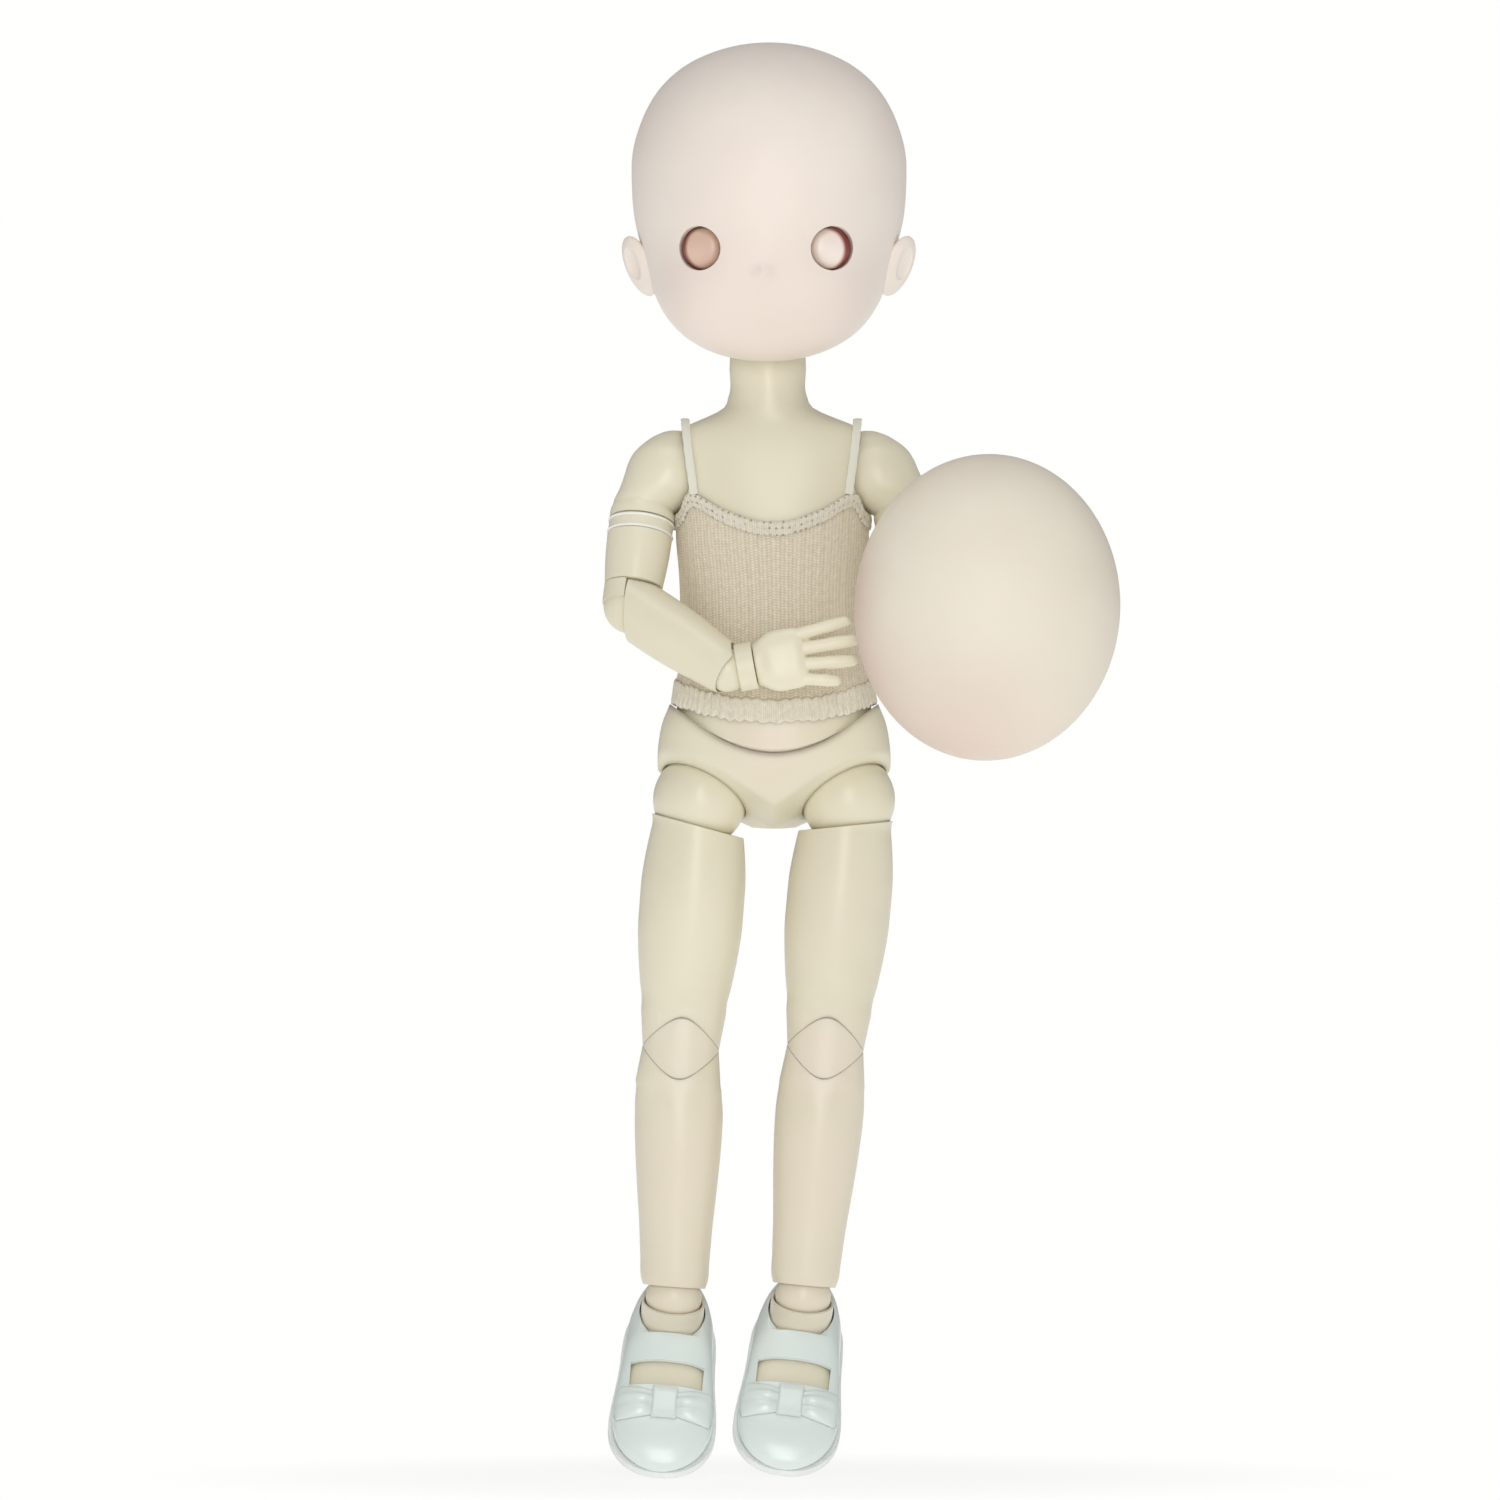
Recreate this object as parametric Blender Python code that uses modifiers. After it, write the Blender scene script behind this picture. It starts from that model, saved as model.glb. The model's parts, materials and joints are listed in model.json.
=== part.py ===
"""Ball jointed doll, about 30 cm tall when it stands flat on its feet.

Metres, +Z up, the doll faces -Y. "r" and "l" are the doll's own right and left,
so "r" is at -X. The origin is in the middle of the waist, where a doll stand's
clip goes round the body. The pose is one of holding the removable rear half of
the head in front of the left arm, right hand across the belly, toes pointed.
All sizes below are in millimetres and are turned into metres when a mesh is made.
"""

import math

import bmesh
import bpy
import numpy as np
from mathutils import Matrix, Vector

# ------------------------------------------------------------------ dimensions
MM = 0.001
GAP = 0.4  # running clearance of a ball in its socket
SEAM = 0.3  # clearance between faces that meet

# head
HEAD_AT = (-0.4, -1.0, 85.0)  # centre of the neck ball
NECK_R = 7.4
HEAD_YAW = -1.3
HEAD_MID_Z, HEAD_HALF_Z = 110.75, 35.65
HEAD_OUTLINE = [  # degrees from the crown, half width
    (0, 0), (17, 10.6), (30, 18.0), (43, 23.7), (60, 28.5), (77, 30.6), (95, 30.0),
    (113, 27.4), (130, 24.7), (146, 19.9), (160, 13.2), (172, 5.6), (180, 0),
]
HEAD_SPLIT_Y = 8.0
FACE_DEPTH = 39.0
HEAD_WALL = 2.4
EYE_X, EYE_Z, EYE_R = 14.9, 99.7, 4.9
EAR_AT, EAR_SIZE = (28.7, 2.6, 96.5), (2.0, 5.0, 7.2)
NECK_HOLE_R = 10.6
CAP_HALF_W, CAP_HALF_H, CAP_DEPTH, CAP_WALL = 29.3, 33.8, 24.5, 2.2
CAP_AT, CAP_TILT = (47.8, -36.0, 20.3), 3.0

# trunk
MID_X = 0.6
NECK_TOP_Z = 79.0
SHOULDER_Z, SHOULDER_X, SHOULDER_R = 50.8, 22.3, 9.1
SHOULDER_PLANE = 21.8
WAIST_AT, WAIST_R = (0.9, 0.0, 9.7), 25.1
TORSO = [  # z, centre x, half width, front depth, back depth, squareness
    (79.0, -0.4, 8.3, 8.3, 8.3, 2.0), (74.0, -0.5, 8.5, 8.5, 8.5, 2.0),
    (67.5, -0.5, 8.7, 8.7, 8.7, 2.0), (64.6, -0.3, 10.3, 9.0, 9.2, 2.1),
    (62.6, 0.0, 14.6, 9.3, 9.8, 2.3), (60.6, 0.2, 19.4, 9.8, 10.2, 2.6),
    (57.5, 0.3, 22.2, 10.6, 10.8, 2.8), (50.0, 0.4, 22.6, 11.9, 11.6, 2.7),
    (42.0, 0.5, 20.9, 12.7, 11.9, 2.5), (34.0, 0.6, 20.4, 13.2, 11.8, 2.4),
    (22.0, 0.8, 19.7, 12.7, 11.2, 2.3), (10.0, 0.9, 20.0, 13.2, 11.8, 2.3),
    (2.0, 0.9, 20.9, 13.9, 12.8, 2.3), (-6.0, 0.9, 22.4, 14.3, 13.6, 2.3),
    (-14.0, 0.9, 23.4, 14.3, 13.8, 2.3), (-20.0, 0.9, 23.4, 14.3, 13.8, 2.3),
]
PELVIS = [
    (6.0, 0.9, 20.4, 13.6, 12.8, 2.3), (-1.0, 0.9, 23.2, 14.3, 13.7, 2.3),
    (-5.0, 0.9, 24.8, 14.4, 14.1, 2.4), (-9.0, 0.9, 25.6, 14.1, 14.4, 2.4), (-13.0, 0.9, 25.9, 13.6, 14.6, 2.5),
    (-20.0, 0.9, 25.6, 12.4, 13.8, 2.5), (-25.5, 0.9, 24.6, 10.4, 11.6, 2.4),
    (-28.4, 0.9, 22.6, 7.2, 8.2, 2.2),
]
HIP_X, HIP_Z, HIP_R = 16.5, -22.2, 10.4
HIP_RIM = (0.47, 0.42, 0.776)  # from the ball's centre into the pelvis, right side's x
HIP_RIM_REAR = (0.47, 0.20, 0.86)  # the same behind, where the rim is higher for the leg to swing back
HIP_RIM_CONE = 80.0

# legs
THIGH_LEAN, SHIN_LEAN = {"r": 4.4, "l": 5.3}, {"r": 1.6, "l": 5.1}
THIGH_LENGTH, SHIN_LENGTH = 55.3, 55.4
THIGH_RIM_TILT, THIGH_RIM_CONE = 11.0, 57.0
THIGH = [  # distance below the hip, half width, front depth, back depth
    (3.0, 10.4, 10.3, 10.4), (5.6, 10.1, 10.0, 10.2), (8.5, 10.5, 10.4, 10.6), (12.0, 11.0, 10.8, 11.2),
    (20.0, 11.6, 11.2, 11.8), (27.0, 11.6, 11.0, 11.5), (34.0, 11.1, 10.4, 10.8),
    (41.0, 10.2, 9.4, 9.6), (47.0, 9.3, 8.3, 8.4), (51.0, 8.7, 7.9, 7.9), (63.0, 8.3, 7.8, 7.8),
]
KNEE_R, KNEE_HALF_W, KNEE_TONGUE = 7.8, 8.5, 2.4
KNEE_POWER = 2.5  # roundness of the knee's section, 2 is an ellipse
THIGH_END_W, SHIN_END_W = 9.45, 9.5  # half widths at the two knee pins
SHIN = [  # distance below the knee
    (-8.0, 8.3, 7.8, 7.8), (3.0, 8.9, 7.9, 7.9), (8.0, 9.6, 8.4, 8.8), (15.0, 9.8, 8.6, 10.2),
    (23.0, 9.5, 8.4, 10.3), (31.0, 8.9, 7.9, 9.3), (39.0, 8.2, 7.4, 8.1), (47.0, 7.7, 7.1, 7.3),
    (51.5, 7.4, 6.9, 6.9), (53.1, 6.9, 6.6, 6.6),
]
ANKLE_R, ANKLE_RIM_CONE = 6.2, 66.0
FOOT_POINT = 45.0  # how far the toes point down in this pose
FOOT_LEAN = {"r": 0.7, "l": 1.9}
FOOT_RIM_BACK, FOOT_RIM_CONE = 22.5, 80.0
SOLE_DROP, SOLE_THICK = 17.0, 1.8
SHOE_WALL, SHOE_MID = 0.85, -11.5
SHOE = [  # distance in front of the ankle, half width, height of the top
    (-11.4, 0.0, -8.0), (-11.0, 3.0, -4.0), (-9.8, 5.6, -2.0), (-7.5, 7.7, -1.2), (-4.0, 9.0, -0.9), (2.0, 9.7, -1.2),
    (8.2, 9.9, -2.6), (14.0, 10.3, -4.8), (20.0, 10.9, -6.8), (25.0, 11.2, -8.0), (30.0, 10.8, -9.2), (34.5, 8.9, -10.9),
    (37.3, 6.0, -12.9), (38.7, 3.0, -14.2), (39.0, 0.0, -14.7),
]

# arms
ARM_LEAN, ARM_FORWARD = {"r": 6.6, "l": 13.0}, {"r": 19.0, "l": 14.0}
ARM_OFFSET = 5.1  # the shaft runs this far outside the shoulder ball's centre
ARM_TURN = {"r": -102.9, "l": -135.0}  # turns the elbow's hinge, 0 is a hinge along X
ELBOW_BEND = {"r": 59.0, "l": 59.0}
UPPER_ARM_LENGTH, FOREARM_LENGTH = 32.6, 27.7
ELBOW_R, ELBOW_RIM = 6.1, 4.7
RING_TOP, RING_HEIGHT = 12.6, 3.6
FINGERS = {"r": (11.2, 12.0, 11.0, 7.6), "l": (8.0, 9.8, 9.6, 7.2)}
PALM_LENGTH = {"r": 17.6, "l": 21.0}
UPPER_ARM = [(11.0, 7.2), (16.0, 7.2), (22.0, 7.0), (27.9, 6.45)]
FOREARM = [(-6.0, 6.8), (2.0, 6.9), (9.0, 6.95), (16.0, 6.7), (22.0, 6.1), (26.5, 5.7), (28.6, 5.3)]
WRIST_R, WRIST_RIM = 4.8, 0.9
COLLAR_R, COLLAR_FROM, COLLAR_TO = 5.3, 2.4, 6.2
HAND_TO = {"r": (0.98, -0.05, 0.18), "l": (-0.20, -0.96, 0.14)}  # where the fingers point
PALM_TO = {"r": (0.08, 0.99, -0.1), "l": (-0.85, 0.2, 0.1)}  # where the palm faces
SHOULDER_CAP = [  # height, centre outward, half width, half depth
    (8.8, -0.7, 2.6, 2.6), (7.35, -0.5, 5.1, 5.1), (5.2, -0.25, 7.2, 7.1), (2.8, 0.05, 8.75, 8.6), (0.4, 0.3, 9.4, 9.1),
    (-1.9, 0.5, 9.6, 9.2), (-6.4, 2.1, 9.0, 8.3), (-8.5, 4.1, 7.7, 7.4), (-9.6, 5.0, 6.95, 6.95), (-11.2, 5.1, 7.2, 7.2),
    (-12.45, 5.1, 7.2, 7.2),
]

# camisole
CAMI_OUT, CAMI_IN = 1.25, 0.4
STRAP_W, STRAP_T = 1.9, 0.6

# ------------------------------------------------------------------ scene
for old in list(bpy.data.objects):
    bpy.data.objects.remove(old, do_unlink=True)

parts = bpy.data.collections.new("ball_jointed_doll")
cutters = bpy.data.collections.new("doll_cutters")
bpy.context.scene.collection.children.link(parts)
bpy.context.scene.collection.children.link(cutters)


def material(name, colour, rough, metal=0.0):
    mat = bpy.data.materials.new(name)
    mat.use_nodes = True
    shader = mat.node_tree.nodes["Principled BSDF"]
    shader.inputs["Base Color"].default_value = (*colour, 1.0)
    shader.inputs["Roughness"].default_value = rough
    shader.inputs["Metallic"].default_value = metal
    return mat


MATERIALS = {
    "head": ((0.86, 0.74, 0.68), 0.5, 0.0),
    "skin": ((0.80, 0.74, 0.58), 0.28, 0.0),
    "core": ((0.72, 0.68, 0.58), 0.4, 0.0),
    "eye": ((0.85, 0.55, 0.42), 0.4, 0.0),
    "cloth": ((0.66, 0.57, 0.46), 0.9, 0.0),
    "strap": ((0.90, 0.88, 0.84), 0.8, 0.0),
    "shoe": ((0.86, 0.92, 0.89), 0.15, 0.0),
}


# ------------------------------------------------------------------ tools
PLACE = {}  # each joint frame's matrix in the doll's frame, in millimetres


def curve_through(keys, t):
    """Smooth values at t through keys, rows of (t, value, value ...)."""
    keys = np.array(keys, float)
    order = np.argsort(keys[:, 0])
    keys = keys[order]
    x, y = keys[:, 0], keys[:, 1:]
    slope = np.zeros_like(y)
    step = np.diff(x)[:, None]
    rise = np.diff(y, axis=0) / step
    slope[1:-1] = (rise[:-1] * step[1:] + rise[1:] * step[:-1]) / (step[1:] + step[:-1])
    slope[1:-1] = np.where(rise[:-1] * rise[1:] <= 0, 0, slope[1:-1])
    slope[0], slope[-1] = rise[0], rise[-1]
    t = min(max(t, x[0]), x[-1])
    i = int(min(np.searchsorted(x, t, side="right") - 1, len(x) - 2))
    h = x[i + 1] - x[i]
    s = (t - x[i]) / h
    return (
        (2 * s**3 - 3 * s**2 + 1) * y[i] + (s**3 - 2 * s**2 + s) * h * slope[i]
        + (-2 * s**3 + 3 * s**2) * y[i + 1] + (s**3 - s**2) * h * slope[i + 1]
    )


def oval(cx, cy, z, a, front, back, square, sides):
    """A ring round +Z: half width a, depth front towards -Y and back towards +Y."""
    ring = []
    for k in range(sides):
        t = 2 * math.pi * k / sides
        c, s = math.cos(t), math.sin(t)
        x = a * math.copysign(abs(c) ** (2 / square), c)
        y = (back if s > 0 else front) * math.copysign(abs(s) ** (2 / square), s)
        ring.append((cx + x, cy + y, z))
    return ring


def circle(z, r, sides, cx=0.0, cy=0.0):
    return oval(cx, cy, z, r, r, r, 2.0, sides)


def ball_rings(r, start, end, steps, sides, cz=0.0):
    """Rings on a ball from polar angle start to end, in degrees from +Z."""
    rings = []
    for k in range(steps + 1):
        t = math.radians(start + (end - start) * k / steps)
        if abs(math.sin(t)) < 1e-6:
            rings.append([(0.0, 0.0, cz + r * math.cos(t))])
        else:
            rings.append(circle(cz + r * math.cos(t), r * math.sin(t), sides))
    return rings


def finish_object(name, shape, slot=None, parent=None, cutter=False, sharp=35):
    """Turns a bmesh in millimetres into an object in metres, faces out."""
    bmesh.ops.scale(shape, vec=(MM, MM, MM), verts=shape.verts)
    bmesh.ops.remove_doubles(shape, verts=shape.verts, dist=1e-7)
    bmesh.ops.recalc_face_normals(shape, faces=shape.faces)
    if shape.calc_volume(signed=True) < 0:
        bmesh.ops.reverse_faces(shape, faces=shape.faces)
    mesh = bpy.data.meshes.new(name)
    shape.to_mesh(mesh)
    shape.free()
    mesh.shade_smooth()
    mesh.set_sharp_from_angle(angle=math.radians(sharp))
    obj = bpy.data.objects.new(name, mesh)
    (cutters if cutter else parts).objects.link(obj)
    if cutter:
        obj.hide_render = True
        obj.display_type = "WIRE"
    else:
        mesh.materials.append(bpy.data.materials.get(slot) or material(slot, *MATERIALS[slot]))
    obj.parent = parent
    return obj


def loft(name, rings, slot="skin", parent=None, cutter=False, sharp=35):
    """One closed skin through unlike sections; a ring of one point is a pole."""
    shape = bmesh.new()
    rows = [[shape.verts.new(p) for p in ring] for ring in rings]
    for a, b in zip(rows, rows[1:]):
        n = max(len(a), len(b))
        for k in range(n):
            m = (k + 1) % n
            corners = [a[k if len(a) > 1 else 0], a[m if len(a) > 1 else 0], b[m if len(b) > 1 else 0], b[k if len(b) > 1 else 0]]
            shape.faces.new(tuple(dict.fromkeys(corners)))
    for row in (rows[0], rows[-1]):
        if len(row) > 1:
            shape.faces.new(row)
    return finish_object(name, shape, slot, parent, cutter, sharp)


def loft_round(name, rings, slot, parent):
    """A closed skin whose last ring meets its first, such as the wall of a tube."""
    shape = bmesh.new()
    rows = [[shape.verts.new(p) for p in ring] for ring in rings]
    n = len(rows[0])
    for a, b in zip(rows, rows[1:] + rows[:1]):
        for k in range(n):
            shape.faces.new((a[k], a[(k + 1) % n], b[(k + 1) % n], b[k]))
    return finish_object(name, shape, slot, parent)


def lathe(name, profile, sides, slot="skin", parent=None, cutter=False, matrix=None, sharp=35):
    """A turned shape: profile runs (radius, height) from its top pole down its outer side to its bottom pole."""
    profile = list(profile)
    if profile[0][1] < profile[-1][1]:
        profile.reverse()
    mesh = bpy.data.meshes.new(name)
    mesh.from_pydata([(r * MM, 0, z * MM) for r, z in profile], [(k, k + 1) for k in range(len(profile) - 1)], [])
    obj = bpy.data.objects.new(name, mesh)
    (cutters if cutter else parts).objects.link(obj)
    screw = obj.modifiers.new("turn", "SCREW")
    screw.angle = 2 * math.pi
    screw.steps = screw.render_steps = sides
    screw.use_merge_vertices = True
    screw.merge_threshold = 1e-6
    screw.use_smooth_shade = True
    if cutter:
        obj.hide_render = True
        obj.display_type = "WIRE"
    else:
        mesh.materials.append(bpy.data.materials.get(slot) or material(slot, *MATERIALS[slot]))
    obj.parent = parent
    if matrix is not None:
        obj.location = matrix.to_translation() * MM
        obj.rotation_euler = matrix.to_euler()
    return obj


def arc(r, start, end, steps, cz=0.0):
    """Profile points of a ball from polar angle start to end, in degrees from +Z."""
    turns = [math.radians(start + (end - start) * k / steps) for k in range(steps + 1)]
    return [(abs(r * math.sin(t)) if abs(math.sin(t)) > 1e-6 else 0.0, cz + r * math.cos(t)) for t in turns]


def block(name, low, high, parent=None):
    """A box cutter."""
    low, high = Vector(low), Vector(high)
    shape = bmesh.new()
    bmesh.ops.create_cube(shape, size=1.0, matrix=Matrix.Translation((low + high) / 2) @ Matrix.Diagonal((*(high - low), 1)))
    return finish_object(name, shape, parent=parent, cutter=True)


def rod(name, r, start, end, sides, slot=None, parent=None, cutter=True):
    """A round bar between two points."""
    start, end = Vector(start), Vector(end)
    turn = (end - start).to_track_quat("Z", "Y").to_matrix().to_4x4()
    shape = bmesh.new()
    bmesh.ops.create_cone(
        shape, cap_ends=True, cap_tris=False, segments=sides, radius1=r, radius2=r, depth=(end - start).length,
        matrix=Matrix.Translation((start + end) / 2) @ turn,
    )
    return finish_object(name, shape, slot, parent, cutter)


def sphere(name, r, sides, slot, parent):
    shape = bmesh.new()
    bmesh.ops.create_uvsphere(shape, u_segments=sides, v_segments=sides // 2, radius=r)
    return finish_object(name, shape, slot, parent)


def ball(name, r, centre, sides, parent=None):
    """A ball cutter, a little larger so that its facets stay outside r."""
    shape = bmesh.new()
    bmesh.ops.create_uvsphere(
        shape, u_segments=sides, v_segments=sides // 2, radius=r / math.cos(math.pi / sides), matrix=Matrix.Translation(centre)
    )
    return finish_object(name, shape, parent=parent, cutter=True)


def turned(rings, matrix):
    return [[tuple(matrix @ Vector(p)) for p in ring] for ring in rings]


def combine(obj, tool, how="DIFFERENCE"):
    change = obj.modifiers.new(tool.name, "BOOLEAN")
    change.operation = how
    change.solver = "EXACT"
    change.object = tool
    return obj


def frame_at(name, parent, at, turns=()):
    """An empty at a joint, turned by (axis, degrees) one after another in its own frame."""
    empty = bpy.data.objects.new(name, None)
    parts.objects.link(empty)
    empty.parent = parent
    turn = Matrix.Identity(4)
    for axis, degrees in turns:
        turn = turn @ Matrix.Rotation(math.radians(degrees), 4, axis)
    empty.location = Vector(at) * MM
    empty.rotation_euler = turn.to_euler()
    empty.empty_display_size = 0.005
    PLACE[name] = (PLACE[parent.name] if parent else Matrix.Identity(4)) @ Matrix.Translation(at) @ turn
    return empty


def aimed_frame(name, parent, at, down, front):
    """An empty whose -Z points along down and whose +Y is as near as can be to front, both in the doll's frame."""
    z = -Vector(down).normalized()
    x = Vector(front).cross(z).normalized()
    turn = Matrix((x, z.cross(x), z)).transposed().to_4x4()
    local = PLACE[parent.name].to_3x3().to_4x4().inverted() @ turn
    empty = frame_at(name, parent, at)
    empty.rotation_euler = local.to_euler()
    PLACE[name] = PLACE[name] @ local
    return empty


SIDE = {"r": -1.0, "l": 1.0}
N_LIMB, N_HEAD, N_TRUNK = 16, 24, 24


# ------------------------------------------------------------------ trunk
def trunk_ring(keys, z, sides, grow=0.0):
    cx, a, front, back, square = curve_through(keys, z)
    return oval(cx, 0.0, z, a + grow, front + grow, back + grow, square, sides)


root = frame_at("doll", None, (0, 0, 0))

rings = [[(-0.4, 0.0, NECK_TOP_Z)]]
for z in (79, 74, 67.5, 64.6, 62.6, 60.6, 57.5, 50, 42, 34, 22, 10, 2, -8, -18):
    rings.append(trunk_ring(TORSO, z, N_TRUNK))
torso = loft("torso", rings + [[(MID_X, 0.0, -18.0)]], parent=root)
dome = loft("torso_end", [circle(80, 60, 24)] + [
    [(x + WAIST_AT[0], y, z) for x, y, z in ring] for ring in ball_rings(WAIST_R, 70, 180, 8, 24, WAIST_AT[2])
], cutter=True, parent=root)
combine(torso, dome, "INTERSECT")
for side, s in SIDE.items():
    at = (MID_X * 0.5 + s * SHOULDER_X, 0.0, SHOULDER_Z)
    edge = MID_X * 0.5 + s * SHOULDER_PLANE
    combine(torso, block("shoulder_face_" + side, (min(edge, s * 40), -30, 36.0), (max(edge, s * 40), 30, 70), root))
    combine(torso, ball("shoulder_seat_" + side, SHOULDER_R + 2.5 * GAP, at, 24, root))
    combine(torso, rod("shoulder_bore_" + side, 2.4, (edge, 0, SHOULDER_Z), (edge - s * 14, 0, SHOULDER_Z), 12, parent=root))
combine(torso, rod("neck_bore", 3.3, (-0.4, -1.0, 70), (-0.4, -1.0, 90), 12, parent=root))
combine(torso, ball("neck_seat", NECK_R + GAP, HEAD_AT, 20, root))
combine(torso, lathe("waist_way", [(0, 3), (2.6, 3), (2.6, 0), (9.6, -27), (0, -27)], 16, cutter=True, parent=root, matrix=Matrix.Translation(WAIST_AT)))
combine(torso, ball("waist_ball_seat", 4.6, WAIST_AT, 14, root))

waist = frame_at("waist_joint", root, WAIST_AT)
waist_ball = sphere("waist_ball", 4.2, 14, "core", waist)
combine(waist_ball, block("waist_ball_slot", (-2.2, -6, -6), (2.2, 6, 2.2), waist))

pelvis_at = frame_at("pelvis_joint", waist, (0, 0, 0))
shift = [-v for v in WAIST_AT]


def moved(ring, by):
    return [(x + by[0], y + by[1], z + by[2]) for x, y, z in ring]


rings = [[(0.9, 0, 4.0)]] + [trunk_ring(PELVIS, z, N_TRUNK) for z in (4, -1, -5, -9, -14, -20, -25.5, -28.4)] + [[(0.9, 0, -28.6)]]
pelvis = loft("pelvis", [moved(r, shift) for r in rings], parent=pelvis_at)
combine(pelvis, ball("pelvis_seat", WAIST_R + GAP, (0, 0, 0), 28, pelvis_at))
combine(pelvis, rod("waist_post", 1.9, (0, 0, -27.6), (0, 0, 1.6), 12, parent=pelvis_at), "UNION")
for side, s in SIDE.items():
    hip = Vector((s * HIP_X, 0, HIP_Z - WAIST_AT[2]))
    n = Vector((-s * HIP_RIM[0], HIP_RIM[1], HIP_RIM[2])).normalized()
    turn = Vector((0, 0, 1)).rotation_difference(n).to_matrix().to_4x4()
    place = Matrix.Translation(hip) @ turn
    d = HIP_R * math.cos(math.radians(HIP_RIM_CONE))
    combine(pelvis, loft("leg_face_" + side, turned([circle(d, 30, 24), circle(-40, 30, 24)], place), cutter=True, parent=pelvis_at))
    n = Vector((-s * HIP_RIM_REAR[0], HIP_RIM_REAR[1], HIP_RIM_REAR[2])).normalized()
    place = Matrix.Translation(hip) @ Vector((0, 0, 1)).rotation_difference(n).to_matrix().to_4x4()
    combine(pelvis, loft("leg_face_rear_" + side, turned([circle(d, 30, 24), circle(-40, 30, 24)], place), cutter=True, parent=pelvis_at))
    combine(pelvis, ball("hip_seat_" + side, HIP_R + GAP, hip, 24, pelvis_at))

# camisole: a thin tube of knit round the torso, cut low at the front and under the arms
def cami_top(t):
    """Top edge height at an angle round the body, degrees from the doll's left."""
    return float(curve_through([
        (0, 40.0), (25, 42.0), (50, 43.0), (90, 42.5), (130, 43.0), (155, 42.0), (180, 40.0),
        (205, 41.5), (221, 44.9), (246, 41.2), (270, 38.6), (294, 41.2), (319, 44.9), (335, 41.5), (360, 40.0)], t)[0])


def cami_hem(t):
    return -0.2 - 4.3 * math.sin(math.radians(t)) ** 2


def cami_ring(u, grow, sides):
    ring = []
    for k in range(sides):
        t = 360.0 * k / sides
        z = cami_hem(t) + (cami_top(t) - cami_hem(t)) * u
        ring.append(trunk_ring(TORSO, z, sides, grow)[k])
    return ring


steps = [0, 0.12, 0.3, 0.5, 0.7, 0.88, 1]
rings = [cami_ring(u, CAMI_OUT, N_TRUNK) for u in steps] + [cami_ring(u, CAMI_IN, N_TRUNK) for u in reversed(steps)]
loft_round("camisole", rings, "cloth", root)


def band(name, points, outs, width, thick, slot, parent):
    """A flat strap through points, with its outward directions."""
    rings = []
    points = [Vector(p) for p in points]
    for i, (p, out) in enumerate(zip(points, outs)):
        run = (points[min(i + 1, len(points) - 1)] - points[max(i - 1, 0)]).normalized()
        out = (Vector(out) - Vector(out).dot(run) * run).normalized()
        across = run.cross(out)
        rings.append([tuple(p + across * (w * width / 2) + out * (h * thick)) for w, h in ((-1, 0), (1, 0), (1, 1), (-1, 1))])
    return loft(name, rings, slot, parent)


def torso_point(x, z, front, lift):
    cx, a, f, b, square = curve_through(TORSO, z)
    depth = (f if front else b) * max(0.0, 1 - (abs(x - cx) / a) ** square) ** (1 / square)
    return (x, (-1 if front else 1) * (depth + lift), z)


for side, s in SIDE.items():
    x0 = MID_X * 0.5
    path = [torso_point(x0 + s * 17.2, 45.6, True, 0.7), torso_point(x0 + s * 17.6, 49, True, 0.7), torso_point(x0 + s * 18.3, 54, True, 0.75),
            torso_point(x0 + s * 18.8, 58.5, True, 0.9), (x0 + s * 19.1, -4.5, 61.6), (x0 + s * 19.2, 0.0, 61.9), (x0 + s * 19.1, 5.0, 61.6),
            torso_point(x0 + s * 18.8, 58.5, False, 0.9), torso_point(x0 + s * 18.2, 54, False, 0.75), torso_point(x0 + s * 17.2, 44.4, False, 0.7)]
    outs = [(0, -1, 0), (0, -1, 0), (0, -1, 0.1), (0, -1, 0.8), (0, -0.2, 1), (0, 0, 1), (0, 0.2, 1), (0, 1, 0.8), (0, 1, 0.1), (0, 1, 0)]
    band("strap_" + side, path, outs, STRAP_W, STRAP_T, "strap", root)


# ------------------------------------------------------------------ head
def head_outline(t):
    """Half width and height of the head's front outline, t in degrees from the crown."""
    return float(curve_through(HEAD_OUTLINE, t)[0]), HEAD_HALF_Z * math.cos(math.radians(t))


def face_y(x, z, rho, depth):
    """How far the face stands in front of the split."""
    return depth * max(0.0, 1 - rho**2.3) ** (1 / 2.1)


JAW = [(0.0, 0.945), (0.15, 0.985), (0.3, 1.032), (0.45, 1.097), (0.6, 1.16), (0.8, 1.22), (1.0, 1.25)]  # share of the depth, drop of the lower face


def head_ring(rho, sides, shrink=0.0, depth=FACE_DEPTH, y=None):
    ring = []
    jaw = float(curve_through(JAW, face_y(0, 0, rho, 1.0))[0])
    for k in range(sides):
        t = 360.0 * k / sides
        w, h = head_outline(t if t <= 180 else 360 - t)
        x = math.copysign(w, 180 - t) * rho if t not in (0, 180) else 0.0
        x *= 1 - shrink / 30.0
        z = h * rho * (1 - shrink / HEAD_HALF_Z)
        z *= 1 + (jaw - 1) * min(1.0, max(0.0, -h / 12.0))
        d = face_y(x, z, rho, depth)
        chin = max(0.0, -z - 8.0) / 27.0  # the lower face comes forward
        ring.append((x, HEAD_SPLIT_Y - d - 3.0 * chin * math.sin(math.pi * min(1, d / depth)), HEAD_MID_Z + z))
    return ring


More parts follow.
